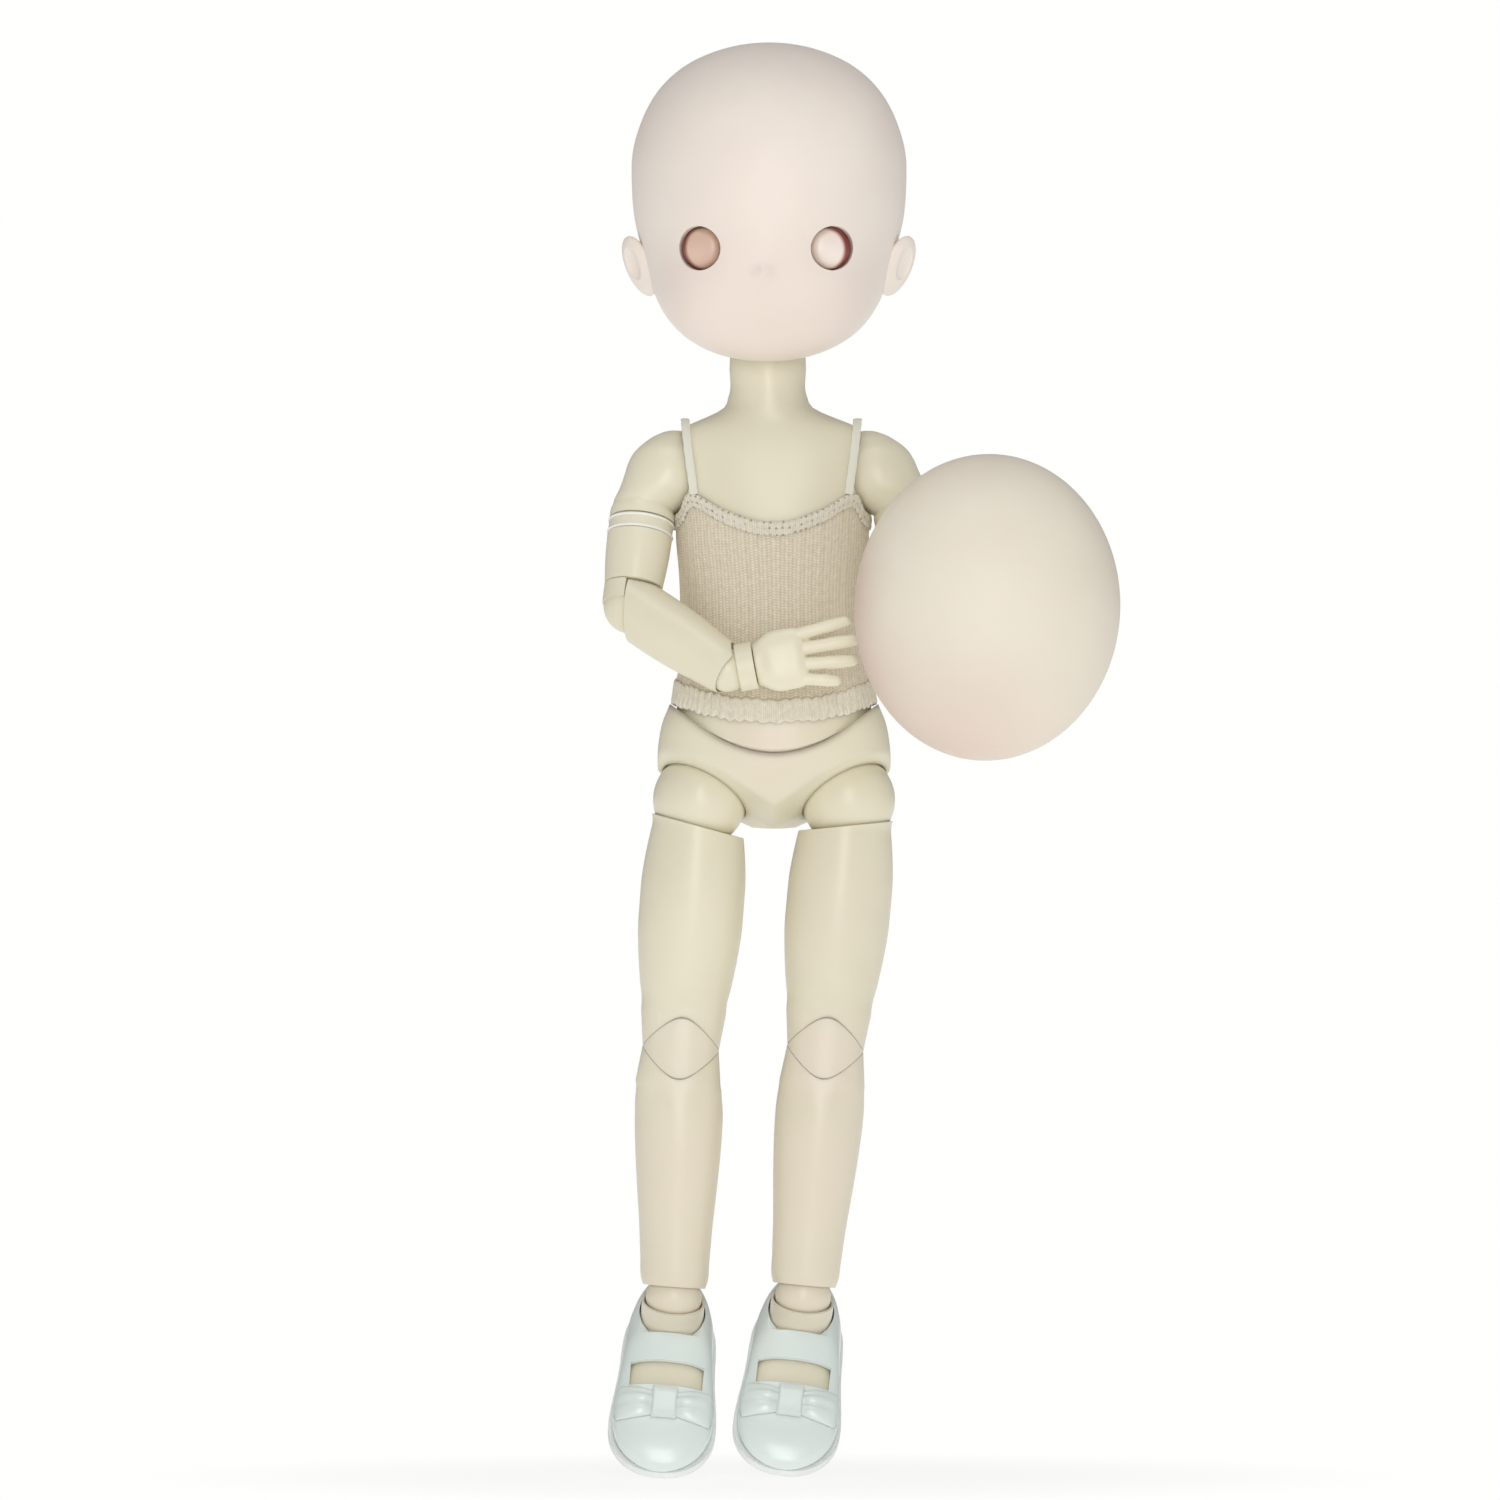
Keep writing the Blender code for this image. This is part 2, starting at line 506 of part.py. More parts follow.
head_turn = frame_at("neck_turn", root, HEAD_AT)
lathe("neck_ball", arc(NECK_R, 0, 156, 7) + [(2.9, -6.9), (2.9, -13.0), (0, -13.0)], 14, "core", head_turn)
head_at = frame_at("head_joint", head_turn, (0, 0, 0), [("Z", HEAD_YAW)])
to_head = (0.0, 1.0, -HEAD_AT[2])
outer = [0.22, 0.42, 0.6, 0.74, 0.85, 0.93, 0.98, 1.0]
rings = [[tuple(np.mean(head_ring(0.0, 4), axis=0))]] + [head_ring(r, N_HEAD) for r in outer]
inner = [head_ring(r, N_HEAD, HEAD_WALL, FACE_DEPTH - HEAD_WALL) for r in reversed(outer)]
rings += inner + [[tuple(np.mean(head_ring(0.0, 4, HEAD_WALL, FACE_DEPTH - HEAD_WALL), axis=0))]]
shell = loft("head_shell", [moved(r, to_head) for r in rings], "head", head_at)
for s in (-1, 1):
    x, y, z = EAR_AT[0] * s, EAR_AT[1] + to_head[1], EAR_AT[2] + to_head[2]
    a, b, c = EAR_SIZE
    tilt = Matrix.Translation((x, y, z)) @ Matrix.Rotation(math.radians(-s * 34), 4, "Z") @ Matrix.Rotation(math.radians(s * 24), 4, "Y") @ Matrix.Diagonal((a * 1.0, b, c, 1))
    tag = "r" if s < 0 else "l"
    combine(shell, loft("ear_" + tag, turned(ball_rings(1.0, 0, 180, 6, 12), tilt), cutter=True, parent=head_at), "UNION")
    tilt = Matrix.Translation((x + s * 2.0, y - 1.8, z + 0.6)) @ Matrix.Rotation(math.radians(-s * 34), 4, "Z") @ Matrix.Rotation(math.radians(s * 24), 4, "Y") @ Matrix.Diagonal((a * 0.7, b * 0.55, c * 0.6, 1))
    combine(shell, loft("ear_hollow_" + tag, turned(ball_rings(1.0, 0, 180, 6, 10), tilt), cutter=True, parent=head_at))
    combine(shell, rod("eye_hole_" + tag, EYE_R, (s * (EYE_X + 11.2), -48.4, EYE_Z + to_head[2]), (s * (EYE_X - 5.6), -12.4, EYE_Z + to_head[2]), 20, parent=head_at))
combine(shell, rod("neck_hole", NECK_HOLE_R, (0, 0.8, -16), (0, 0.8, 4), 20, parent=head_at))

for tag, s in SIDE.items():
    front = -3.0
    rings = [[(0, front, 0)]]
    for r, back in ((2.2, 0.25), (4.0, 0.9), (5.6, 2.2), (6.1, 3.4)):
        rings.append([(r * math.cos(a), front + back, r * math.sin(a)) for a in [2 * math.pi * k / 14 for k in range(14)]])
    rings += [[(x * 0.85, front + 4.6, z * 0.85) for x, y, z in rings[-1]], [(0, front + 4.6, 0)]]
    place = Matrix.Translation((s * (EYE_X - 1.3), -17.2, EYE_Z + to_head[2])) @ Matrix.Rotation(math.radians(s * 30), 4, "Z")
    loft("eye_" + tag, turned(rings, place), "eye", head_at)


# ------------------------------------------------------------------ legs
def flat_cut(name, parent, n, distance, centre=(0, 0, 0), reach=40.0):
    """A cutter that fills the half space beyond distance along n."""
    n = Vector(n).normalized()
    place = Matrix.Translation(centre) @ Vector((0, 0, 1)).rotation_difference(n).to_matrix().to_4x4()
    rings = [[(-reach, -reach, z), (reach, -reach, z), (reach, reach, z), (-reach, reach, z)] for z in (distance, distance + 2 * reach)]
    return loft(name, turned(rings, place), cutter=True, parent=parent)


def fan(name, parent, s, low, high, half, width, r=14.0):
    """A slot cutter for a bar of half thickness width that swings in the XZ plane.

    Angles go from straight down to outward (s) and on to straight up.
    """
    def along(t):
        return Vector((s * math.sin(t), -math.cos(t)))

    def across(t):
        return Vector((s * math.cos(t), math.sin(t)))

    low, high = math.radians(low), math.radians(high)
    points = [-width * across(low), r * along(low) - width * across(low)]
    points += [(r + 0.5) * along(low + (high - low) * k / 6) for k in range(7)]
    points += [r * along(high) + width * across(high), width * across(high)]
    return loft(name, [[(x, y, z) for x, z in points] for y in (-half, half)], cutter=True, parent=parent)


def half_round_end(pivot, sign, sides, bottom, steps=(1.0, 0.8, 0.55, 0.28)):
    """Rings of a limb's end rounded about X through the pivot; sign -1 ends downward."""
    rings = []
    for k in steps:
        ring = []
        for x, y, z in bottom:
            x, y = x * k * KNEE_HALF_W / bottom[0][0], y * k
            ring.append((x, y, pivot + sign * math.sqrt(max(0.0, KNEE_R**2 - y * y))))
        rings.append(ring)
    return rings + [[(bottom[0][0] * 0 + sum(p[0] for p in bottom) / len(bottom), 0, pivot + sign * KNEE_R)]]


def knee_slot(name, parent, pivot, sign):
    """The slot for the tongue in a limb's end (sign -1 ends downward), closed in front and open behind."""
    w = KNEE_TONGUE + SEAM
    points = [(-6.6, sign * 12.0), (-6.6, 0.0)]
    points += [(-6.6 * math.cos(math.radians(15 * k)), -sign * 6.6 * math.sin(math.radians(15 * k))) for k in range(1, 9)]
    points += [(13.0, -sign * 0.2), (13.0, sign * 12.0)]
    return loft(name, [[(x, y, pivot + z) for y, z in points] for x in (-w, w)], cutter=True, parent=parent)


KNEE_PIVOT = KNEE_R + SEAM / 2
LEG = {}
for tag, s in SIDE.items():
    hip = frame_at("hip_" + tag, pelvis_at, (s * HIP_X, 0, HIP_Z - WAIST_AT[2]), [("Y", THIGH_LEAN[tag])])
    hip_ball = sphere("hip_ball_" + tag, HIP_R, 22, "skin", hip)
    combine(hip_ball, ball("hip_core_seat_" + tag, 4.4, (0, 0, 0), 12, hip))
    combine(hip_ball, fan("hip_slot_" + tag, hip, s, 0, 46, 2.0, 2.0))
    lathe("hip_core_" + tag, arc(4.0, 0, 156, 6) + [(1.6, -12.8), (3.0, -12.8), (3.0, -15.4), (0, -15.4)], 12, "core", hip)

    knee = frame_at("knee_" + tag, hip, (0, 0, -THIGH_LENGTH))
    pivot = -THIGH_LENGTH + KNEE_PIVOT
    rings = [oval(0, 0, -d, *curve_through(THIGH, d), 2.0, N_LIMB) for d in (2.6, 5.6, 8.5, 12, 17, 23, 29, 35, 41)]
    rings.append(oval(0, 0, pivot, THIGH_END_W, KNEE_R, KNEE_R, KNEE_POWER, N_LIMB))
    rings = [[(0, 0, -2.6)]] + rings + half_round_end(pivot, -1, N_LIMB, rings[-1])
    thigh = loft("thigh_" + tag, rings, "skin", hip)
    tilt = math.radians(THIGH_RIM_TILT)
    combine(thigh, flat_cut("thigh_rim_" + tag, hip, (-s * math.sin(tilt), 0, math.cos(tilt)), -HIP_R * math.cos(math.radians(THIGH_RIM_CONE))))
    combine(thigh, ball("thigh_seat_" + tag, HIP_R + GAP, (0, 0, 0), 28, hip))
    combine(thigh, lathe("thigh_bore_" + tag, [(0, -5), (1.9, -5), (1.9, -12.5), (3.3, -12.5), (3.3, -15.8), (0, -15.8)], 12, cutter=True, parent=hip))
    combine(thigh, knee_slot("thigh_slot_" + tag, hip, pivot, -1))
    combine(thigh, rod("thigh_pin_hole_" + tag, 1.75, (-6.6, 0, pivot), (6.6, 0, pivot), 12, parent=hip))

    # knee link: a wedge in front, a tongue between the two pins
    rings = [[(0, 0, -8.2)]] + [oval(0, 0, z, KNEE_HALF_W, 7.98, 7.98, KNEE_POWER, 28) for z in (-8.2, 8.2)] + [[(0, 0, 8.2)]]
    link = loft("knee_link_" + tag, rings, "skin", knee)
    combine(link, block("knee_link_back_" + tag, (-20, 0.6, -20), (20, 20, 20), knee))
    for sign in (-1, 1):
        combine(link, rod(f"knee_link_seat_{tag}{sign + 1}", KNEE_R + 0.25, (-20, 0, sign * KNEE_PIVOT), (20, 0, sign * KNEE_PIVOT), 40, parent=knee))
    ring = []
    for sign, start in ((1, 0), (-1, 180)):
        for k in range(11):
            t = math.radians(start + 18 * k)
            ring.append((6.2 * math.cos(t), sign * KNEE_PIVOT + 6.2 * math.sin(t)))
    rings = [[(x, y, z) for y, z in ring] for x in (-KNEE_TONGUE, KNEE_TONGUE)]
    combine(link, loft("knee_tongue_" + tag, rings, cutter=True, parent=knee), "UNION")
    for sign in (-1, 1):
        combine(link, rod(f"knee_pin_{tag}{sign + 1}", 1.5, (-6.2, 0, sign * KNEE_PIVOT), (6.2, 0, sign * KNEE_PIVOT), 12, parent=knee), "UNION")

    # shin, in the knee's frame; its lean against the thigh is moulded in
    slope = math.tan(math.radians(THIGH_LEAN[tag] - SHIN_LEAN[tag]))
    top = oval(0, 0, -KNEE_PIVOT, SHIN_END_W, KNEE_R, KNEE_R, KNEE_POWER, N_LIMB)
    rings = [oval(slope * d, 0, -d, *curve_through(SHIN, d), 2.0, N_LIMB) for d in (11.5, 16, 22, 29, 36, 43, 49.5, SHIN_LENGTH - ANKLE_R * math.cos(math.radians(ANKLE_RIM_CONE)))]
    rings = list(reversed(half_round_end(-KNEE_PIVOT, 1, N_LIMB, top))) + [top] + rings + [[(slope * 53, 0, rings[-1][0][2])]]
    shin = loft("shin_" + tag, rings, "skin", knee)
    combine(shin, knee_slot("shin_slot_" + tag, knee, -KNEE_PIVOT, 1))
    combine(shin, rod("shin_pin_hole_" + tag, 1.75, (-6.6, 0, -KNEE_PIVOT), (6.6, 0, -KNEE_PIVOT), 12, parent=knee))
    ankle_at = (slope * SHIN_LENGTH, 0, -SHIN_LENGTH)
    combine(shin, ball("shin_seat_" + tag, ANKLE_R + GAP, ankle_at, 20, knee))

    ankle = frame_at("ankle_" + tag, knee, ankle_at, [("Y", FOOT_LEAN[tag]), ("X", FOOT_POINT)])
    sphere("ankle_ball_" + tag, ANKLE_R, 20, "skin", ankle)
    LEG[tag] = ankle


# ------------------------------------------------------------------ feet and shoes
def shoe_ring(a, grow, sides, low=SOLE_THICK - SOLE_DROP + 0.1, floor=None):
    """An upright section of the shoe, a in front of the ankle, round -Y."""
    w, top = curve_through(SHOE, a)
    middle = min(SHOE_MID, (top + low) / 2)  # the toe closes down onto the sole
    w, up = max(0.05, w + grow), max(0.1, top + grow - middle)
    down = max(0.1, middle - (low - grow if floor is None else floor))
    ring = []
    for k in range(sides):
        t = 2 * math.pi * k / sides
        c, s = math.cos(t), math.sin(t)
        e = 2.6 if s > 0 else 5.0
        x = w * math.copysign(abs(c) ** (2 / e), c)
        ring.append((x, -a, middle + (up if s > 0 else down) * math.copysign(abs(s) ** (2 / e), s)))
    return ring


def shoe_body(grow, sides, stations):
    """Rings from heel to toe; grow moves the whole skin out."""
    rings = []
    for a in stations:
        middle = 14.0
        reach = 1 + grow / 25.0
        ring = shoe_ring(a, grow, sides)
        rings.append([(x, -(middle + (-y - middle) * reach), z) for x, y, z in ring])
    first, last = rings[0], rings[-1]
    return [[(0, first[0][1], first[0][2])]] + rings + [[(0, last[0][1], last[0][2])]]


STATIONS = (-11.3, -10.8, -9.6, -7.0, -3.0, 3.0, 8.2, 14.0, 20.0, 25.0, 30.0, 34.0, 36.8, 38.4, 38.95)
COLUMN = [  # height above the ankle, half width, front depth, back depth
    (3.2, 6.9, 7.1, 7.0), (0.0, 7.0, 7.2, 7.2), (-2.0, 7.0, 7.5, 7.5), (-4.0, 7.0, 8.5, 7.7), (-8.0, 7.3, 12.0, 7.8), (-12.5, 7.6, 13.0, 7.6),
]
for tag, s in SIDE.items():
    ankle = LEG[tag]
    inside = (-10.8, -9.6, -7, -3, 3, 8.2, 14, 20, 27, 34, 37.4)
    foot = loft("foot_" + tag, shoe_body(-SHOE_WALL - 0.45, 16, inside), "skin", ankle)
    column = [oval(0, 0, z, *curve_through(COLUMN, z), 2.1, 18) for z in (3.2, 0, -2, -4, -8, -12.5)]
    combine(foot, loft("foot_column_" + tag, column, cutter=True, parent=ankle), "UNION")
    back = math.radians(FOOT_RIM_BACK)
    combine(foot, flat_cut("foot_rim_" + tag, ankle, (0, math.sin(back), math.cos(back)), -ANKLE_R * math.cos(math.radians(FOOT_RIM_CONE))))
    combine(foot, ball("foot_seat_" + tag, ANKLE_R + GAP, (0, 0, 0), 20, ankle))

    shoe = loft("shoe_upper_" + tag, shoe_body(0.0, 20, STATIONS), "shoe", ankle)
    combine(shoe, loft("shoe_inside_" + tag, shoe_body(-SHOE_WALL, 16, inside), cutter=True, parent=ankle))
    grown = [oval(0, 0, z, *[v + 0.3 for v in curve_through(COLUMN, z)], 2.1, 18) for z in (6.0, 0, -2, -4, -8, -12.5)]
    combine(shoe, loft("shoe_column_" + tag, grown, cutter=True, parent=ankle))
    side = [(-20, 12), (-20, -1.6), (-10.5, -2.0), (-6, -3.5), (0, -4.3), (5, -4.3), (7.6, -3.8), (8.2, -3.0), (8.2, 12)]
    combine(shoe, loft("ankle_opening_" + tag, [[(x, -a, b) for a, b in side] for x in (-20, 20)], cutter=True, parent=ankle))
    combine(shoe, block("instep_window_" + tag, (-8.1, -20.2, -9.6), (8.1, -14.4, 3), ankle))

    outline = [(curve_through(SHOE, a)[0] + 0.4, -a) for a in STATIONS]
    outline = [(x, y) for x, y in outline] + [(-x, y) for x, y in reversed(outline)]
    rings = [[(x, y, z) for x, y in outline] for z in (-SOLE_DROP, -SOLE_DROP + SOLE_THICK)]
    rings = [[(0, -14, -SOLE_DROP)]] + rings + [[(0, -14, -SOLE_DROP + SOLE_THICK)]]
    loft("shoe_sole_" + tag, rings, "shoe", ankle)

    rings = []
    for x, size, thick in ((-10.7, 2.2, 0.5), (-9.8, 3.9, 1.3), (-7.0, 4.4, 1.7), (-4.2, 3.6, 1.5), (-2.4, 2.8, 1.1), (2.4, 2.8, 1.1), (4.2, 3.6, 1.5), (7.0, 4.4, 1.7), (9.8, 3.9, 1.3), (10.7, 2.2, 0.5)):
        drop = -8.3 - 1.9 * abs(x / 10.7) ** 2.5
        rings.append([(x, -24.9 - size * math.cos(t), drop + thick * math.sin(t) - 0.2 * size * math.cos(t)) for t in [2 * math.pi * k / 12 for k in range(12)]])
    bow = loft("shoe_bow_" + tag, rings, "shoe", ankle)
    knot = [[(x, y, z) for x, y, z in ((-2.1, -20.6, b), (2.1, -20.6, b), (2.1, -29.0, b - 1.5), (-2.1, -29.0, b - 1.5))] for b in (-9.2, -5.9)]
    combine(bow, loft("bow_knot_" + tag, knot, cutter=True, parent=ankle), "UNION")
    combine(bow, loft("bow_seat_" + tag, shoe_body(0.1, 20, STATIONS), cutter=True, parent=ankle))


# ------------------------------------------------------------------ arms
def finger(name, parent, base, out, lift, length, r):
    """A finger from base; out leans it along X, lift towards the palm."""
    turn = Matrix.Translation(base) @ Matrix.Rotation(math.radians(out), 4, "Y") @ Matrix.Rotation(math.radians(lift), 4, "X")
    rings = [circle(1.5, r * 0.9, 8), circle(-length * 0.45, r, 8), circle(-length * 0.85, r * 0.86, 8), circle(-length * 0.97, r * 0.5, 8), [(0, 0, -length)]]
    return loft(name, turned([[(0, 0, 1.5)]] + rings, turn), cutter=True, parent=parent)


ARM = {}
for tag, s in SIDE.items():
    swing = frame_at("shoulder_" + tag, root, (MID_X * 0.5 + s * SHOULDER_X, 0, SHOULDER_Z))
    lathe("shoulder_ball_" + tag, [(0, 13.2), (1.8, 13.2)] + arc(4.5, 24, 180, 6), 12, "core", swing, matrix=Matrix.Rotation(math.radians(-s * 90), 4, "Y"))

    arm = frame_at("arm_" + tag, swing, (0, 0, 0), [("X", -ARM_FORWARD[tag]), ("Y", -s * ARM_LEAN[tag])])
    rings = [[(-s * 0.7, 0, 9.3)]] + [oval(s * cx, 0, z, a, d, d, 2.0, 18) for z, cx, a, d in SHOULDER_CAP] + [[(s * ARM_OFFSET, 0, SHOULDER_CAP[-1][0])]]
    cap = loft("shoulder_cap_" + tag, rings, "skin", arm)
    combine(cap, ball("cap_hollow_" + tag, 4.9, (0, 0, 0), 12, arm))
    combine(cap, fan("cap_slot_" + tag, arm, -s, 89 + ARM_LEAN[tag], 141 + ARM_LEAN[tag], 2.1, 2.1, 12.0))
    combine(cap, rod("cap_bore_" + tag, 2.7, (s * ARM_OFFSET, 0, -14), (s * ARM_OFFSET, 0, -6.3), 12, parent=arm))

    shaft = frame_at("arm_axis_" + tag, arm, (s * ARM_OFFSET, 0, 0))
    top, low = -RING_TOP - SEAM / 2, -RING_TOP - RING_HEIGHT + SEAM / 2
    profile = [(0, top), (7.1, top), (7.45, top - 0.35), (7.15, top - 0.8), (7.15, low + 0.8), (7.45, low + 0.35), (7.1, low), (0, low)]
    ring = lathe("arm_ring_" + tag, profile, 18, "skin", shaft)
    combine(ring, rod("ring_bore_" + tag, 2.7, (0, 0, -10), (0, 0, -20), 12, parent=shaft))
    body = -RING_TOP - RING_HEIGHT
    end = ELBOW_RIM - UPPER_ARM_LENGTH
    upper = lathe("upper_arm_" + tag, [(0, -6.6), (2.4, -6.6), (2.4, body), (7.2, body), (7.15, -20), (6.9, -24), (6.45, end), (0, end)], 18, "skin", shaft)
    combine(upper, rod("elbow_bore_" + tag, 4.3, (0, 0, -40), (0, 0, 10.3 - UPPER_ARM_LENGTH), 14, parent=shaft))

    elbow = frame_at("elbow_" + tag, shaft, (0, 0, -UPPER_ARM_LENGTH), [("Z", ARM_TURN[tag])])
    link = lathe("elbow_link_" + tag, [(0, 10), (4.0, 10)] + arc(ELBOW_R, 41, 180, 8), 18, "skin", elbow)
    half = [(6.45 * math.cos(math.radians(t)), min(-0.15, 6.45 * math.sin(math.radians(t)))) for t in range(180, 361, 20)]
    combine(link, loft("elbow_cheek_" + tag, [[(x, y, z) for x, y in half] for z in (0.15, ELBOW_RIM - 0.15)], cutter=True, parent=elbow), "UNION")

    bend = math.radians(ELBOW_BEND[tag])
    fore = frame_at("fore_" + tag, elbow, (0, 0, 0), [("X", ELBOW_BEND[tag])])
    profile = [(float(curve_through(FOREARM, d)[0]), -d) for d in (-6, -2, 2, 6, 10, 15, 20, 24.5, FOREARM_LENGTH + WRIST_RIM)]
    forearm = lathe("forearm_" + tag, [(0, 6)] + profile + [(0, -FOREARM_LENGTH - WRIST_RIM)], N_LIMB, "skin", fore)
    combine(forearm, ball("elbow_seat_" + tag, ELBOW_R + GAP, (0, 0, 0), 18, fore))
    combine(forearm, flat_cut("elbow_face_" + tag, fore, (0, -math.cos(bend), math.sin(bend)), -SEAM / 2))
    combine(forearm, flat_cut("elbow_rim_" + tag, fore, (0, math.sin(bend), math.cos(bend)), ELBOW_RIM - SEAM))
    wrist_at = (0, 0, -FOREARM_LENGTH)
    combine(forearm, ball("wrist_seat_" + tag, WRIST_R + GAP, wrist_at, 18, fore))

    wrist = aimed_frame("wrist_" + tag, fore, wrist_at, HAND_TO[tag], PALM_TO[tag])
    combine(forearm, rod("collar_way_" + tag, COLLAR_R + 0.5, (0, 0, -COLLAR_FROM + 0.5), (0, 0, -COLLAR_TO - 3), 20, parent=wrist))
    lathe("wrist_ball_" + tag, arc(WRIST_R, 0, 120, 6) + [(COLLAR_R, -COLLAR_FROM), (COLLAR_R, -COLLAR_TO), (0, -COLLAR_TO)], 16, "skin", wrist)

    mirror = 1.0 if tag == "l" else -1.0
    palm = [(0, 0, -COLLAR_TO - 0.15)], *[oval(0, 0, -d, a, f, b, 2.4, 14) for d, a, f, b in (
        (COLLAR_TO + 0.15, 4.5, 3.6, 3.6), (7.6, 5.2, 3.5, 3.4), (PALM_LENGTH[tag] - 8, 6.4, 3.0, 2.7), (PALM_LENGTH[tag] - 3.5, 6.8, 2.5, 2.2), (PALM_LENGTH[tag] - 1, 6.5, 2.0, 1.8), (PALM_LENGTH[tag], 6.0, 1.4, 1.2))], [(0, 0, -PALM_LENGTH[tag])]
    hand = loft("hand_" + tag, list(palm), "skin", wrist)
    for i, (x, out, length, r) in enumerate(((-4.9, 5, FINGERS[tag][0], 1.65), (-1.65, 1, FINGERS[tag][1], 1.75), (1.65, -4, FINGERS[tag][2], 1.75), (4.9, -11, FINGERS[tag][3], 1.6))):
        combine(hand, finger(f"finger_{tag}{i}", wrist, (mirror * x, -0.3, 1.6 - PALM_LENGTH[tag]), mirror * out, 6, length, r), "UNION")
    combine(hand, finger("thumb_" + tag, wrist, (mirror * -4.2, 1.4, -9.6), mirror * 9, 16, 10.5, 1.7), "UNION")
    ARM[tag] = wrist

# removable rear half of the head, held in front of the left arm
cap_at = frame_at("cap_frame", root, CAP_AT, [("Y", CAP_TILT)])


def cap_rings(shrink, sides, steps):
    w, h, depth = CAP_HALF_W - shrink, CAP_HALF_H - shrink, CAP_DEPTH - shrink
    rings = []
    for rho in steps:
        y = -depth * max(0.0, 1 - rho**2.2) ** (1 / 2.1)
        rings.append([(w * rho * math.cos(2 * math.pi * k / sides), y, h * rho * math.sin(2 * math.pi * k / sides)) for k in range(sides)])
    return rings


steps = (0.25, 0.48, 0.68, 0.83, 0.93, 0.98, 1.0)
rings = [[(0, -CAP_DEPTH, 0)]] + cap_rings(0.0, 24, steps) + list(reversed(cap_rings(CAP_WALL, 24, steps))) + [[(0, CAP_WALL - CAP_DEPTH, 0)]]
loft("head_cap", rings, "head", cap_at)
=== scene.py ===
"""Looks of the ball jointed doll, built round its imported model.

Each hard piece is the same shape as its CAD solid, from the same dimensions, with
far more sides. Sizes are in millimetres until a mesh is made in metres.
"""

import json
import math

import bmesh
import bpy
import numpy as np
from mathutils import Matrix, Vector, noise

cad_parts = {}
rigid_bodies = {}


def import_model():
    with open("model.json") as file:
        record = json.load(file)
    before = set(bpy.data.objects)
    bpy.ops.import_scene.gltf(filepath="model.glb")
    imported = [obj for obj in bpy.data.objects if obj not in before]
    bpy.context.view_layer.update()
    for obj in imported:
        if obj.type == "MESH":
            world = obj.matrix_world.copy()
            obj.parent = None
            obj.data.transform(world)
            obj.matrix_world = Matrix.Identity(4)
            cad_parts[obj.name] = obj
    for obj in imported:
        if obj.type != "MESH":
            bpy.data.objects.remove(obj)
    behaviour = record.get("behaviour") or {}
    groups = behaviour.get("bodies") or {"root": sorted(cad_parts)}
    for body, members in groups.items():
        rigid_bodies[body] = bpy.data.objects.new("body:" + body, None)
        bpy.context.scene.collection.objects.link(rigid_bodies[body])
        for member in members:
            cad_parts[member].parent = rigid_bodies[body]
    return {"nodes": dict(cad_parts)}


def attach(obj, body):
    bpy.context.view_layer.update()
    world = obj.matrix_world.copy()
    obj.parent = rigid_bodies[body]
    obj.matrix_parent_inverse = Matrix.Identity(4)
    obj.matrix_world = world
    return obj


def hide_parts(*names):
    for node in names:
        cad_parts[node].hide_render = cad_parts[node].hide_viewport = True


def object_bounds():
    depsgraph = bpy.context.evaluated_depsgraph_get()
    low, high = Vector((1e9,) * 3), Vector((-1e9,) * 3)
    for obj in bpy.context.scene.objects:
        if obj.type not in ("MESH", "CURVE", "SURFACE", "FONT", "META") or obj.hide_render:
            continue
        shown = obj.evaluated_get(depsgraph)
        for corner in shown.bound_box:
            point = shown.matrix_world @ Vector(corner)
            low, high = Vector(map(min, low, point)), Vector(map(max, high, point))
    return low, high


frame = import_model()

CAD_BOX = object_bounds()

# ------------------------------------------------------------------ dimensions
MM = 0.001
GAP = 0.4  # running clearance of a ball in its socket
SEAM = 0.3  # clearance between faces that meet

# head
HEAD_AT = (-0.4, -1.0, 85.0)  # centre of the neck ball
NECK_R = 7.4
HEAD_YAW = -1.3
HEAD_MID_Z, HEAD_HALF_Z = 110.75, 35.65
HEAD_OUTLINE = [  # degrees from the crown, half width
    (0, 0), (17, 10.6), (30, 18.0), (43, 23.7), (60, 28.5), (77, 30.6), (95, 30.0),
    (113, 27.4), (130, 24.7), (146, 19.9), (160, 13.2), (172, 5.6), (180, 0),
]
HEAD_SPLIT_Y = 8.0
FACE_DEPTH = 39.0
HEAD_WALL = 2.4
EYE_X, EYE_Z, EYE_R = 14.9, 99.7, 4.9
EAR_AT, EAR_SIZE = (28.7, 2.6, 96.5), (2.0, 5.0, 7.2)
NECK_HOLE_R = 10.6
CAP_HALF_W, CAP_HALF_H, CAP_DEPTH, CAP_WALL = 29.3, 33.8, 24.5, 2.2
CAP_AT, CAP_TILT = (47.8, -36.0, 20.3), 3.0

